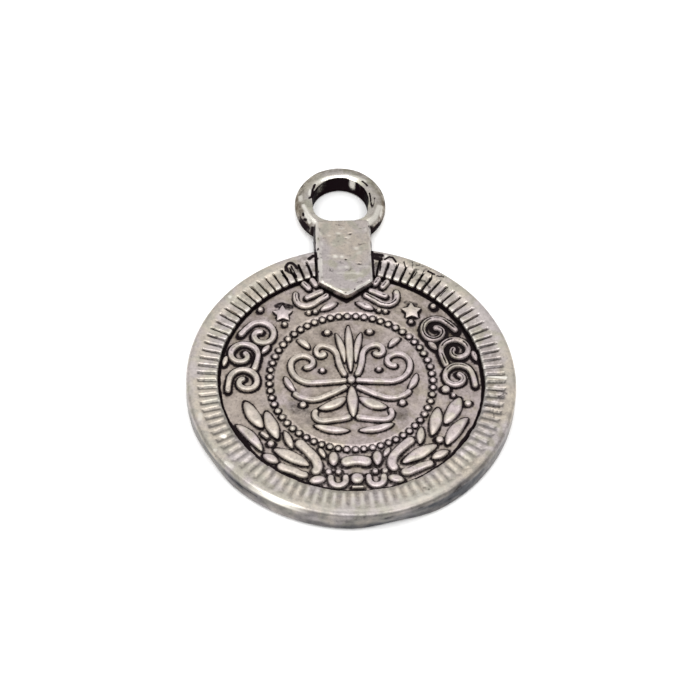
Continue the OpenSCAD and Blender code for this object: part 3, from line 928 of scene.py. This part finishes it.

# %% [markdown]
# ## Wear, painted shade and painted highlights on the rim
# The rim took the most handling. The grooves keep their black at the top of the coin and turn brown-grey
# lower down, partly patina and partly painted shade. Beside the tab the casting is rough: black lines wander
# over the teeth and out onto the border. The side wall is darkened by painted shade, with a painted dark
# reflection as one thin line under the edge, and a painted highlight makes the edge shine at the lower left.

# %% Dark marks and painted highlights on the rim
# Each follows a mark seen in the photograph: a width, a strength and the places that its line runs through
RIM_MARKS = [
    [0.28, 0.8, [[-4.55, 10.45], [-4.53, 10.84], [-4.33, 11.1], [-4.1, 11.1], [-3.87, 10.92],
                [-3.69, 10.63]]],
    [0.3, 0.8, [[-4.54, 10.74], [-4.4, 10.35], [-4.09, 10.15], [-3.83, 9.9]]],
    [0.6, 0.5, [[-3.95, 10.7], [-3.55, 10.35]]],
    [0.1, 0.9, [[-4.14, 10.83], [-3.93, 10.34], [-3.73, 9.75]]], [0.32, 0.6, [[-3.7, 10.8], [-3.55, 10.4]]],
    [0.1, 0.9, [[-3.56, 11.0], [-3.42, 10.62], [-3.22, 9.94]]],
    [0.12, 0.85, [[-4.86, 10.46], [-4.64, 9.97], [-4.43, 9.58]]],
    [0.11, 0.75, [[-4.87, 9.98], [-4.58, 9.68]]], [0.3, 0.9, [[-2.72, 11.48], [-2.4, 11.76]]],
    [0.13, 0.85, [[-2.98, 10.9], [-2.75, 10.85]]],
    [0.11, 0.95, [[-2.89, 11.14], [-2.69, 10.6], [-2.55, 10.11]]],
    [0.2, 1.0, [[-2.45, 9.82], [-2.19, 9.62]]], [0.34, 0.95, [[2.34, 11.8], [2.95, 11.66]]],
    [0.34, 0.9, [[2.4, 11.45], [2.86, 11.34]]], [0.36, 0.55, [[2.49, 10.96], [2.45, 10.28]]],
    [0.15, 0.85, [[2.84, 11.05], [2.72, 10.28]]],
    [0.18, 0.95, [[3.16, 11.29], [3.49, 11.52], [3.79, 11.42], [4.0, 11.02]]],
    [0.1, 0.75, [[3.49, 10.94], [3.34, 10.26]]], [0.11, 0.85, [[4.19, 10.82], [3.96, 10.24], [3.77, 9.67]]],
    [0.13, 0.8, [[4.62, 11.01], [4.68, 10.62]]], [0.14, 0.85, [[4.75, 10.52], [4.52, 9.84]]],
    [0.12, 0.6, [[5.28, 10.99], [5.25, 10.41]]], [0.13, 0.75, [[5.61, 10.64], [5.85, 10.69]]],
    [0.11, 0.8, [[5.57, 10.01], [5.15, 9.44]]], [0.1, 0.8, [[6.12, 10.1], [5.77, 9.42]]],
    [0.2, 0.85, [[6.43, 10.04], [6.88, 9.74]]], [0.2, 0.7, [[7.1, 9.59]]],
    [0.11, 0.8, [[6.72, 9.69], [6.61, 9.21], [6.27, 8.73]]], [0.15, 0.8, [[7.25, 9.53], [7.59, 9.48]]],
    [0.1, 0.85, [[7.34, 9.1], [6.87, 8.43]]], [0.1, 0.7, [[7.88, 8.5], [7.21, 7.65]]],
    [0.1, 0.6, [[8.39, 8.1], [7.73, 7.45]]], [0.3, 0.55, [[5.24, -10.17], [4.9, -10.0]]],
    [0.26, 0.6, [[10.7, -1.25], [11.3, -1.45], [11.6, -1.7], [11.1, -1.9]]],
    [0.2, 0.62, [[9.95, -2.7], [10.5, -2.8], [11.05, -2.9]]], [0.16, 0.5, [[10.1, -3.15], [10.8, -3.25]]],
    [0.16, 0.5, [[10.5, -2.8], [10.54, -3.8]]],
]
# Painted highlights: bright spots and glints where the teeth and the border catch the light
RIM_BRIGHT = [
    [0.2, 1.0, [[10.4, 0.0], [11.7, -0.2]]], [0.24, 0.9, [[3.26, 11.6]]], [0.26, 0.9, [[-8.95, 7.96]]],
    [0.32, 0.4, [[-11.54, -3.42], [-11.5, -3.0]]], [0.3, 0.6, [[-9.95, -4.9], [-9.75, -5.0]]],
    [0.3, 0.35, [[-10.49, -6.26]]], [0.3, 0.5, [[-9.7, -7.4], [-9.3, -7.75]]],
]
print("marks on the rim:", len(RIM_MARKS) + len(RIM_BRIGHT))

# %% Where each point of the rim lies
rim_points = points_of(rim.data)
rim_xy, rim_z = rim_points[:, :2], rim_points[:, 2]
rim_r, rim_facing = np.hypot(*rim_xy.T), compass(rim_xy)
downward = -rim_xy[:, 1] / rim_r
lower, lowest = soft_step(-0.35, 0.7, downward), soft_step(0.45, 0.9, downward)
shallow, at_sides = soft_step(-0.6, 0.5, downward), soft_step(0.7, 0.95, np.abs(rim_xy[:, 0]) / rim_r)
on_top, on_teeth = rim_z > 1.55, (rim_r < 12.0) & (rim_z > 1.3)
crest_z = TOOTH_Z + (COIN_THICK - TOOTH_Z) * soft_step(11.3, 11.8, rim_r)
drop = np.where(on_teeth, crest_z - rim_z, 0)
sunk = drop / (crest_z - TOOTH_FLOOR_Z - 0.14 * shallow)
print("points down in the grooves:", int((sunk > 0.8).sum()))

# %% A thin line down the middle of each groove
swing = np.arctan2(rim_xy[:, 1], rim_xy[:, 0])
count = swing / (2 * np.pi) * TOOTH_COUNT - TOOTH_DRIFT[0] * np.cos(swing) - TOOTH_DRIFT[1] * np.sin(swing)
aside = np.abs(count - np.round(count)) * 2 * np.pi / TOOTH_COUNT * rim_r
line_width = 0.16 - 0.05 * soft_step(10.4, 11.5, rim_r) - 0.03 * lower + 0.09 * lowest
groove_line = soft_step(line_width, 0.3 * line_width, aside) * on_teeth \
    * soft_step(TOOTH_INNER_R - 0.05, TOOTH_INNER_R + 0.1, rim_r) \
    * soft_step(TOOTH_OUTER_R + 0.05, TOOTH_OUTER_R - 0.3, rim_r)
line_amount = soft_step(-0.75, -0.15, downward)
print("points on those lines:", int((groove_line > 0.5).sum()))

# %% Black in the grooves, beside the tab and on the rough part at its right
in_groove = soft_step(0.35, 0.85, sunk) * (0.86 - 0.42 * shallow - 0.17 * lower) * (1 - 0.28 * at_sides)
on_lines = groove_line * line_amount * (0.66 - 0.32 * lower - 0.12 * lowest) * (1 - 0.55 * at_sides)
beside_tab = 1 - soft_step(0.02, 0.16, np.abs(rim_xy[:, 0]) - NECK_HALF)
rough_part = near_angle(rim_facing, 29, 30) * soft_step(10.2, 10.8, rim_r) * (rim_r < 12.2)
specks = (0.26 + 0.8 * ripple(rim_points, 3.0, 11)).clip(0, 1) * rough_part
rim_patina = np.maximum.reduce([
    in_groove, on_lines, soft_step(0.24, 0.4, drop), draw_marks(rim_xy, RIM_MARKS) * on_top, specks * on_top,
    beside_tab * (rim_xy[:, 1] > 8) * (rim_z > 0.2)])
print("blackened rim points:", int((rim_patina > 0.5).sum()))

# %% Brown haze and painted shade on the teeth
# Painted shade on the teeth beside the tab; the teeth are also made darker at the right and the upper left
shaded_sides = lobes(rim_facing, [[0.5, 344, 9], [0.5, 13, 8]], np.max)
browned_teeth = lobes(rim_facing, [[0.5, 92, 48], [0.22, 318, 34]]) * soft_step(11.8, 11.3, rim_r)
# Painted shade dulls the groove flanks low down and the border at the lower right; the rough part is real
# haze
rim_stain = np.maximum.reduce([
    (0.45 - 0.2 * lower) * shallow * soft_step(0.1, 0.6, sunk), 0.22 * rough_part, shaded_sides * on_teeth,
    browned_teeth * on_teeth, 0.25 * near_angle(rim_facing, 118, 42) * soft_step(11.0, 11.6, rim_r)])
# Painted shade in the grooves: a smooth grey line down each, spreading over the flanks at the sides
rim_film = np.maximum(
    groove_line * line_amount * (0.88 - 0.3 * lower - 0.24 * lowest) * (1 - 0.5 * at_sides),
    (0.03 + 0.55 * at_sides) * soft_step(0.03, 0.4, sunk) * on_teeth)
print("strongest film on the teeth:", round(float(rim_film.max()), 2))

# %% Painted shade on the side wall and on dull stretches of its edge
# Found by trial beside the photograph. Columns: degrees from the ring, then the painted shade on the
# rounding, on the upper wall and at the foot
WALL_TONES = np.array([
    [0, 0.05, 0.1, 0.1], [60, 0.05, 0.1, 0.1], [90, 0.06, 0.12, 0.12], [105, 0.12, 0.52, 0.5],
    [120, 0.38, 0.78, 0.7], [135, 0.68, 1.08, 0.98], [150, 0.86, 1.2, 0.98], [165, 0.72, 0.9, 1.05],
    [180, 0.6, 0.68, 1.0], [195, 0.62, 0.56, 0.97], [210, 0.0, 0.75, 0.48], [225, 0.36, 1.05, 0.72],
    [240, 0.22, 0.82, 0.62], [255, 0.22, 0.85, 0.6], [270, 0.04, 0.2, 0.2], [300, 0.03, 0.08, 0.1],
    [360, 0.05, 0.1, 0.1],
])
rounding, upper_wall, foot = (np.interp(rim_facing, WALL_TONES[:, 0], tones) for tones in WALL_TONES.T[1:])
on_edge, on_wall = soft_step(12.02, 12.36, rim_r), soft_step(12.3, 12.46, rim_r)
streaks = ripple(np.c_[rim_facing * 0.15, 0 * rim_z, rim_z * 2.2], 1.0, 2)
wall_film = rounding + (upper_wall - rounding) * soft_step(1.75, 1.3, rim_z) \
    + (foot - upper_wall) * soft_step(1.1, 0.5, rim_z) + 0.25 * streaks
# Painted shade that dulls the edge's highlight at the bottom of the coin
dull_edge = 0.04 * near_angle(rim_facing, 192, 50) * soft_step(11.75, 12.05, rim_r) \
    + 0.4 * near_angle(rim_facing, 184, 20) * soft_step(11.95, 12.15, rim_r)
rim_film = np.maximum.reduce([rim_film, on_edge * wall_film, dull_edge * (rim_z > 1.5)])
print("strongest film on the wall:", round(float(rim_film.max()), 2))

# %% Black on the side wall, a painted dark reflection under its edge, and black in the corner of the back
# A painted dark reflection: one thin line under the edge at the lower left
thin_line = soft_step(0.95, 1.1, rim_z) * (1 - soft_step(1.25, 1.4, rim_z)) * near_angle(rim_facing, 222, 26)
dark_spots = 0.5 * soft_step(0.1, 0.4, streaks) \
    + 0.3 * near_angle(rim_facing, 148, 16) * soft_step(0.6, 1.0, rim_z)
wall_black = dark_spots * near_angle(rim_facing, 165, 60) + 0.65 * thin_line
back_corner = (rim_r < 11.7) & (rim_z < 0.3)
rim_patina = np.maximum(rim_patina, on_wall * wall_black)
rim_patina = np.where(back_corner, 0.9 * soft_step(11.66, 11.5, rim_r), rim_patina)
print("points in the corner of the back:", int(back_corner.sum()))

# %% Painted highlights: the shining edge, the inner ends and low crests of the teeth, the low border and bright spots
shining_edge = near_angle(rim_facing, 210, 14) * soft_step(12.08, 12.25, rim_r) * soft_step(1.5, 1.7, rim_z)
inner_ends = 0.5 * (1 - lower) * (1 - soft_step(10.12, 10.4, rim_r)) * (rim_z > 1.7)
low_crests = 0.24 * near_angle(rim_facing, 185, 62) * soft_step(0.3, 0.05, sunk) * on_teeth * (rim_r < 11.7)
low_border = lobes(rim_facing, [[0.35, 158, 20], [0.16, 190, 30]]) * soft_step(11.3, 11.6, rim_r)
rim_rubbed = np.maximum.reduce([
    shining_edge, inner_ends, low_crests * (1 - groove_line), low_border * (1 - on_edge),
    draw_marks(rim_xy, RIM_BRIGHT) * on_top])
paint(rim.data, patina=rim_patina, stain=rim_stain, rubbed=rim_rubbed, film=rim_film)
print("rubbed rim points:", int((rim_rubbed > 0.3).sum()))

# %% Uneven border, and a foot that leans in
uneven_top = 0.035 * ripple(rim_points, 1.4, 5) * rough_part + 0.006 * ripple(rim_points, 1.1, 8)
lean = lobes(rim_facing, [[0.28, 167, 17], [0.16, 241, 15]]) * soft_step(1.5, 0.2, rim_z) \
    * soft_step(11.7, 12.3, rim_r) / rim_r
lowered = np.abs(uneven_top) * (rim_z > 1.3) * (rim_r < 12.1)
worn_rim = rim_points - np.c_[rim_xy * lean[:, None], lowered]
rim.data.vertices.foreach_set("co", to_frame(worn_rim).ravel())
hand_over(rim, rim_silver, 60)

# %% [markdown]
# ## The bead circle
# Sixty beads stand in their own shallow channel. A bead is a low dome that differs a little from its
# neighbours in size and place, which a fixed seed keeps the same on every run. Geometry Nodes set one dome
# on each point of a circle.


# %% The tree that sets the beads
def bead_circle_tree():
    bench, size = new_tree("bead circle", {
        "Beads": "Int", "Circle radius": "Float", "Bead radius": "Float", "Foot height": "Float",
        "Spread": "Float", "Stray": "Float", "Seed": "Int"})

    def offset(**ways):
        return bench.node("ShaderNodeCombineXYZ", None, ways)

    circle = bench.node("GeometryNodeMeshCircle", None, {
        "Vertices": size("Beads"), "Radius": size("Circle radius")})
    bead = bench.node("GeometryNodeMeshUVSphere", None, {
        "Segments": 16, "Rings": 10, "Radius": size("Bead radius")})
    swell = bench.node("FunctionNodeRandomValue", {"data_type": "FLOAT"}, {
        "Min": 1 - size("Spread"), "Max": 1.0, "Seed": size("Seed")}, "Value")
    stray = bench.node("FunctionNodeRandomValue", {"data_type": "FLOAT_VECTOR"}, {
        "Min": offset(X=-size("Stray"), Y=-size("Stray")), "Max": offset(X=size("Stray"), Y=size("Stray")),
        "Seed": size("Seed") + 1}, "Value")
    scattered = bench.node("GeometryNodeSetPosition", None, {"Geometry": circle, "Offset": stray})
    lifted = bench.node("GeometryNodeSetPosition", None, {
        "Geometry": scattered, "Offset": offset(Z=size("Foot height"))})
    stood = bench.node("GeometryNodeInstanceOnPoints", None, {
        "Points": lifted, "Instance": bead, "Scale": swell})
    return end_tree(bench, stood, relief_silver)


beads = run_tree("bead_circle", bead_circle_tree(), bpy.data.meshes.new("beads"), {
    "Beads": BEAD_COUNT, "Circle radius": BEAD_CIRCLE_R, "Bead radius": BEAD_R, "Foot height": CHANNEL_Z,
    "Spread": 0.112, "Stray": 0.02, "Seed": 3})
close_mesh(beads.data)
bead_height = points_of(beads.data)[:, 2] - CHANNEL_Z
paint(beads.data, patina=0.86 * soft_step(0.19, 0.05, bead_height),
      rubbed=0.06 * soft_step(0.12, 0.2, bead_height))
hand_over(beads, relief_silver)

# %% [markdown]
# ## Tab and neck
# The tab is a plain plate with a point, thicker than the coin's border, and its neck runs on to the ring. A
# stack of outlines, each a little in from the one below, gives the sloping sides, the bevel along the point
# and the flat face. The last outlines shrink to a line in the middle of the face, so that the face has
# points of its own and can be slightly uneven, as a filed casting is.


# %% Outline of the tab at one level
def tab_outline(half, point_in, top_y, lowest_y, per_side=46):
    """Points round the tab, from its top left corner over its point to its top right corner and back."""
    tip = TAB_POINT_Y + point_in * math.hypot(1, TAB_POINT_SLOPE)
    shoulder = tip + TAB_POINT_SLOPE * half
    corners = np.array([[-half, top_y], [-half, shoulder], [0, tip], [half, shoulder], [half, top_y],
                        [-half, top_y]])
    line = np.vstack([a + (b - a) * np.linspace(0, 1, per_side, endpoint=False)[:, None]
                      for a, b in zip(corners[:-1], corners[1:])])
    return np.c_[line[:, 0], np.maximum(line[:, 1], lowest_y)]


def rounded(line, passes=2):
    """Takes the sharpness off the corners."""
    for _ in range(passes):
        line = 0.5 * line + 0.25 * (np.roll(line, 1, 0) + np.roll(line, -1, 0))
    return line


print("points round the tab:", len(tab_outline(TAB_HALF, 0, TAB_TOP_Y, 0)))

# %% Stack the outlines from the bottom of the neck to the edge of the face
BEVEL = 0.14
FACE_HALF = TAB_HALF - BEVEL - 0.02
# Columns: height, half width, how far the point is drawn in, top edge, lowest y. The neck has no point
NECK_END_Y = 11.0
LEVELS = [
    (NECK_BOTTOM + 0.12, NECK_HALF - 0.12, 0, 14.5, NECK_END_Y),
    (NECK_BOTTOM + 0.03, NECK_HALF - 0.03, 0, 14.6, NECK_END_Y),
    (NECK_BOTTOM + 0.12, NECK_HALF, 0, 14.65, NECK_END_Y),
    (1.2, NECK_HALF, 0, 14.65, NECK_END_Y), (1.3, NECK_HALF, 0, 14.65, NECK_END_Y - 0.4),
    (1.32, NECK_HALF, 0, 14.75, 0), (TAB_SLOPE_Z, NECK_HALF, 0, TAB_TOP_Y, 0),
    (1.8, 2.16, 0, TAB_TOP_Y, 0), (2.0, 2.1, 0.005, TAB_TOP_Y, 0),
    (TAB_TOP - BEVEL, TAB_HALF + 0.02, 0.01, TAB_TOP_Y, 0),
    (TAB_TOP - BEVEL * 0.9, TAB_HALF, 0.03, TAB_TOP_Y, 0),
    (TAB_TOP - 0.03, FACE_HALF + 0.05, BEVEL - 0.04, TAB_TOP_Y - 0.02, 0),
    (TAB_TOP, FACE_HALF, BEVEL + 0.02, TAB_TOP_Y - 0.07, 0)]
tab_rows = []
for z, half, point_in, top_y, lowest_y in LEVELS:
    outline = tab_outline(half, point_in, top_y, lowest_y)
    near_point = soft_step(8.6, 7.9, outline[:, 1:])
    worn_line = rounded(outline) * (1 - near_point) + rounded(outline, 70) * near_point
    tab_rows.append(np.c_[worn_line, np.full(len(outline), z)])
print("outlines:", len(tab_rows))

# %% File the edge of the face unevenly, and fill the face and the bottom
around_tab = len(tab_rows[0])
face_line = tab_rows[-1][:, :2]
filed = ripple(face_line, 1.7, 21) + 0.6 * ripple(face_line, 4.0, 22)
filed *= soft_step(14.6, 14.2, face_line[:, 1]) * np.where(face_line[:, 1] < 9.3, 1, 0.6)
inward = [0, 11.0] - face_line
inward /= np.linalg.norm(inward, axis=1)[:, None]
face_line += inward * (0.04 + 0.2 * filed)[:, None].clip(-0.05, 0.2)
spine, bottom_spine = (np.c_[np.zeros(around_tab), np.clip(line[:, 1], low, high)]
                       for line, low, high in [(face_line, 9.75, 13.0), (tab_rows[0], 12.0, 13.5)])
for share in np.linspace(0, 1, 27)[1:]:
    tab_rows.append(np.c_[face_line + (spine - face_line) * share, np.full(around_tab, TAB_TOP)])
tab_rows[0][:, 2] = NECK_BOTTOM
tab_rows.insert(0, np.c_[bottom_spine, np.full(around_tab, NECK_BOTTOM)])
tab_points = np.vstack(tab_rows)
print("tab points:", len(tab_points))

# %% Dents and pits on the face
# Columns: place, length, height, depth. A negative depth is a bright dent, and a positive one a black pit
TAB_MARKS = [
    [0.55, 13.55, 0.3, 0.14, 0.8], [0.2, 13.1, 0.28, 0.13, 0.7], [0.62, 12.85, 0.22, 0.13, 0.8],
    [-0.05, 12.45, 0.28, 0.1, 0.55], [-0.55, 12.4, 0.2, 0.1, 0.5], [0.1, 11.05, 0.22, 0.13, 0.95],
    [1.1, 10.6, 0.36, 0.13, 0.95], [-0.1, 14.2, 0.08, 0.2, 0.5], [-1.75, 13.0, 0.2, 0.14, 0.5],
    [-0.7, 11.35, 0.28, 0.17, -1.0], [-0.2, 11.3, 0.2, 0.16, -0.9], [0.95, 12.1, 0.26, 0.13, -0.9],
    [0.1, 10.3, 0.24, 0.13, -0.8], [-0.35, 13.6, 0.3, 0.1, -0.6], [-1.1, 13.4, 0.2, 0.1, -0.5],
    [1.3, 12.2, 0.15, 0.3, 0.3], [0.95, 9.6, 0.2, 0.1, -0.5], [1.75, 14.0, 0.12, 0.2, -0.5],
    [-1.7, 12.6, 0.16, 0.2, -0.55], [-1.75, 13.5, 0.14, 0.16, -0.5], [-1.75, 12.1, 0.12, 0.16, -0.4],
]
tab_x, tab_y, tab_z = tab_points.T
on_face = tab_z > TAB_TOP - 0.001
from_edge = np.minimum(FACE_HALF - np.abs(tab_x), 1.0)
sag = 0.012 * (ripple(tab_points, 0.9, 1) - 1) * soft_step(0, 0.3, from_edge) * on_face
tab_patina, tab_rubbed = np.zeros(len(tab_points)), np.zeros(len(tab_points))
for x, y, length, height, depth in TAB_MARKS:
    mark = np.exp(-1.8 * (((tab_x - x) / length) ** 2 + ((tab_y - y) / height) ** 2)) * on_face
    sag -= 0.035 * abs(depth) * mark
    tab_patina, tab_rubbed = np.maximum(tab_patina, depth * mark), np.maximum(tab_rubbed, -depth * mark)
tab_z += sag
dashes = ripple(tab_points[:, :2] * [1.3, 3.2], 1.0, 12)
tab_patina = np.maximum(tab_patina, 0.5 * soft_step(0.25, 0.5, dashes) * on_face)
tab_rubbed = np.maximum(tab_rubbed, 0.3 * soft_step(-0.25, -0.5, dashes) * on_face)
print("deepest dent:", round(float(-sag.min()), 3), "mm")

# %% Black sides, partly patina and partly painted shade, a painted highlight on the bevel with nicks, and the crease by the ring
wall, front, on_right = tab_z < TAB_TOP - BEVEL - 0.001, tab_y < 9.1, tab_x > 0
uneven_tab = ripple(tab_points, 2.2, 3)
# The walls' black is partly patina and partly painted shade: darker low down and on the right
front_black = 0.36 + 0.55 * soft_step(1.86, 1.72, tab_z) + 0.14 * uneven_tab
side_black = np.where(on_right, 0.55, 0.2 + 0.55 * soft_step(2.08, 1.85, tab_z)) + 0.3 * uneven_tab
tab_patina = np.where(wall, np.where(front, front_black, side_black), tab_patina)
bevel_band = ~wall & ~on_face
nicks = 0.75 * soft_step(0.22, 0.45, ripple(tab_points, 3.1, 14)) * bevel_band * (tab_y < 14.4)
# Painted highlights along the bevel and a strip of the face, stronger at the point and on the left
bevel_bright = np.where((tab_y < 9.4) | ~on_right, 0.48, 0.15) + 0.35 * uneven_tab
left_strip, strip_bright = on_face & (from_edge < 0.15) & ~on_right, 0.3 + 0.6 * uneven_tab
tab_rubbed = np.select([left_strip, bevel_band], [strip_bright, bevel_bright], tab_rubbed).clip(0, 1)
top_edge = bevel_band & (tab_y > TAB_TOP_Y - 0.06) & (np.abs(tab_x) < FACE_HALF)
tab_rubbed = np.where(top_edge, 0, tab_rubbed * (1 - nicks))
tab_patina = np.where(top_edge, 0.6, np.maximum(tab_patina, nicks))
ring_gap = np.abs(np.hypot(np.hypot(tab_x, tab_y - EYE_Y) - EYE_MAJOR_R, tab_z - WIRE_R) - WIRE_R)
tab_patina = np.where(wall, np.maximum(tab_patina, 1 - soft_step(0.05, 0.5, ring_gap)), tab_patina)
make_piece("tab_and_neck", tab_points, loop_faces(len(tab_rows), around_tab), tab_silver, 35,
           patina=tab_patina, rubbed=tab_rubbed)

# %% [markdown]
# ## Eye ring
# The ring is round wire whose hole was drilled straight, so its inside is a short upright wall. A lathe
# gives that section. Low noise on the radius keeps it from looking turned, because the real one was cast
# and filed by hand.

# %% Turn the ring's section round its centre
STEPS_ROUND, WIRE_STEPS, WALL_STEPS = 220, 46, 9
# The angle at which the drilled wall cuts the round wire
cut = math.acos((EYE_HOLE_R - EYE_MAJOR_R) / WIRE_R)
wall_top = WIRE_R + WIRE_R * math.sin(cut)
wire = [[EYE_MAJOR_R + WIRE_R * math.cos(a), WIRE_R + WIRE_R * math.sin(a)]
        for a in np.linspace(-cut + 0.09, cut - 0.09, WIRE_STEPS)]
wire += [[EYE_HOLE_R + 0.02, wall_top - 0.02]]
wire += [[EYE_HOLE_R, z] for z in np.linspace(wall_top - 0.07, 2 * WIRE_R - wall_top + 0.07, WALL_STEPS)]
wire += [[EYE_HOLE_R + 0.02, 2 * WIRE_R - wall_top + 0.02]]
round_swing = 2 * np.pi * np.arange(STEPS_ROUND + 1) / STEPS_ROUND
ways = np.repeat(np.stack([np.cos(round_swing), np.sin(round_swing)], -1), len(wire), axis=0)
lathe_r, lathe_z = np.tile(wire, (len(round_swing), 1)).T
in_wall = np.tile(np.arange(len(wire)) >= WIRE_STEPS, len(round_swing))
ring_points = np.c_[ways * lathe_r[:, None] + [0, EYE_Y], lathe_z]
print("ring points:", len(ring_points))

# %% Make it uneven, and file the hole
outward = np.c_[ways * (lathe_r - EYE_MAJOR_R)[:, None], lathe_z - WIRE_R] / WIRE_R
wobble = 0.022 * (ripple(ring_points, 0.8, 4) - 1) + 0.01 * (ripple(ring_points, 2.2, 9) - 1)
ring_points += outward * (wobble * ~in_wall)[:, None]
ring_xy, ring_z = ring_points[:, :2] - [0, EYE_Y], ring_points[:, 2].clip(0, 2 * WIRE_R)
ring_turn, reach = np.degrees(np.arctan2(ring_xy[:, 1], ring_xy[:, 0])), np.hypot(*ring_xy.T)
# Filing has opened the hole a little towards the neck, on both sides of it
filed_r = EYE_HOLE_R + lobes(ring_turn, [[0.33, -140, 40], [0.34, -44, 36]])
ring_reach = np.maximum(reach, filed_r)
ring_xy *= (ring_reach / reach)[:, None]
ring_points = np.c_[ring_xy + [0, EYE_Y], ring_z]
print("the hole is filed up to", round(float((ring_reach - reach).max()), 2), "mm wider")


# %% Marks on the ring
def round_the_ring(marks):
    """The marks, with their places turned from degrees and distance into millimetres across and along."""
    turned = []
    for width, strength, places in marks:
        angle, reach = np.radians([a for a, _ in places]), np.array([r for _, r in places])
        turned.append([width, strength, np.c_[reach * np.cos(angle), reach * np.sin(angle)]])
    return turned


# Each is a width, a strength and places, given as degrees from +X and distance from the ring's centre
RING_DARK = [
    [0.19, 1.0, [[142, 2.45], [152, 2.38], [161, 2.31], [170, 2.26], [176, 2.44]]],
    [0.14, 0.9, [[45, 2.51], [37, 2.53], [30, 2.54]]], [0.14, 0.85, [[14, 2.38], [-1, 2.37], [-17, 2.5]]],
    [0.12, 0.75, [[2, 2.7], [-10, 2.66], [-21, 2.59]]], [0.18, 0.9, [[-158, 3.21], [-155, 3.27]]],
    [0.2, 0.8, [[-150, 3.38], [-147, 3.3]]], [0.4, 0.45, [[148, 3.2], [168, 3.25]]],
    [0.16, 0.7, [[2, 3.5], [-4, 3.52]]],
]
# Painted highlights, where the wire catches the light
RING_BRIGHT = [
    [0.24, 0.6, [[141, 2.48], [126, 2.45], [112, 2.4]]], [0.16, 0.45, [[112, 2.36], [88, 2.32], [75, 2.4]]],
    [0.26, 0.6, [[75, 2.45], [58, 2.56], [41, 2.68]]], [0.2, 0.85, [[158, 2.52], [168, 2.47]]],
    [0.24, 0.85, [[-170, 2.98], [-152, 2.96], [-134, 3.05]]], [0.2, 0.9, [[-157, 3.12], [-140, 3.25]]],
    [0.34, 0.66, [[-14, 3.1], [-32, 3.16], [-50, 3.1]]], [0.14, 0.6, [[-10, 3.3], [-26, 3.4]]],
    [0.3, 0.6, [[178, 3.1], [172, 3.15]]],
]
print("marks on the ring:", len(RING_DARK) + len(RING_BRIGHT))

# %% Black inside the ring and in its creases, painted shade on its outer flank, and painted highlights with a painted reflection in the hole
face_side = ring_z > 1.2
neck_gap = np.hypot(np.maximum(np.abs(ring_points[:, 0]) - NECK_HALF + 0.05, 0),
                    np.maximum(ring_points[:, 1] - TAB_TOP_Y, 0))
# A painted reflection: a pale patch on the black wall of the hole
lit_patch = lobes(ring_turn, [[1, 61, 17], [0.5, 42, 16]], np.max) * soft_step(0.1, 1.1, ring_z) * in_wall
hole_black = 1.3 - 0.62 * near_angle(ring_turn, 136, 52) * soft_step(-0.2, 0.9, ring_z)
# Painted shade: black on the outer flank low down, at the lower left and the lower right
black_flank = np.maximum(0.9 * near_angle(ring_turn, -146, 30) * soft_step(3.33, 3.48, ring_reach),
                         near_angle(ring_turn, -40, 26) * soft_step(3.42, 3.54, ring_reach)).clip(0, 0.95)
ring_patina = np.maximum.reduce([
    hole_black * in_wall - 1.1 * lit_patch, draw_marks(ring_xy, round_the_ring(RING_DARK)) * face_side,
    black_flank * (ring_z < 1.7), (1 - soft_step(0.05, 0.6, neck_gap)) * soft_step(1.8, 1.4, ring_z)])
# Painted shade: the wire is darker towards its outside
ring_stain = 0.5 * soft_step(2.95, 3.5, ring_reach) + 0.45 * soft_step(2.6, 3.0, ring_reach) * (ring_z > 0.6)
bright_marks = draw_marks(ring_xy, round_the_ring(RING_BRIGHT)) * face_side * ~in_wall
ring_rubbed = np.maximum(bright_marks, 0.5 * lit_patch)
make_piece("eye_ring", ring_points, loop_faces(STEPS_ROUND + 1, len(wire)), ring_silver, 45,
           patina=ring_patina, stain=ring_stain, rubbed=ring_rubbed)

# %% [markdown]
# ## Floor and light
# The pendant lies on white. A wide soft light hangs above and a little in front, which whitens the floor
# and every edge that leans towards the camera. The sky behind is a duller white, and flat faces mirror it:
# that difference is what makes the metal read as metal. A small light from the left gives the bright
# stretch on the coin's side.

# %% A pale floor under the pendant
FLOOR_HALF = 1.5
floor_mesh = bpy.data.meshes.new("floor")
floor_mesh.from_pydata([(x * FLOOR_HALF, y * FLOOR_HALF, 0) for x, y in ((-1, -1), (1, -1), (1, 1), (-1, 1))],
                       [], [(0, 1, 2, 3)])
floor = add_object("floor", floor_mesh)
paper = bpy.data.materials.new("white paper")
paper.use_nodes = True
paper_shader, paper_bench = paper.node_tree.nodes["Principled BSDF"], Bench(paper.node_tree)
paper_cloud = paper_bench.node("ShaderNodeTexNoise", None, {
    "Vector": paper_bench.node("ShaderNodeTexCoord", out="Object"), "Scale": 40.0}, "Fac")
paper_tone = paper_bench.blend(paper_cloud, (0.96, 0.96, 0.96, 1), (0.975, 0.975, 0.97, 1))
paper.node_tree.links.new(paper_tone.socket, paper_shader.inputs["Base Color"])
paper_shader.inputs["Roughness"].default_value = 0.9
floor_mesh.materials.append(paper)
print("floor material:", paper.name)


# %% Soft studio lights
def soft_light(name, place, size, watts, tint=(1, 1, 1)):
    """A square light at a place in metres, turned to face the pendant."""
    lamp = bpy.data.lights.new(name, "AREA")
    lamp.shape, lamp.size, lamp.energy, lamp.color = "SQUARE", size, watts, tint
    holder = add_object(name, lamp)
    holder.location = place
    holder.rotation_euler = (-Vector(place)).to_track_quat("-Z", "Y").to_euler()


soft_light("overhead", (0, -0.16, 0.9), 0.8, 6.5)
soft_light("front_left", (-0.75, -0.75, 0.5), 0.3, 1.3, (1.0, 0.99, 0.96))
world = bpy.data.worlds.new("studio")
world.use_nodes = True
bpy.context.scene.world = world
sky = world.node_tree.nodes["Background"].inputs
sky["Color"].default_value, sky["Strength"].default_value = (1, 1, 1, 1), 0.98
bpy.context.scene.view_settings.view_transform = "Standard"
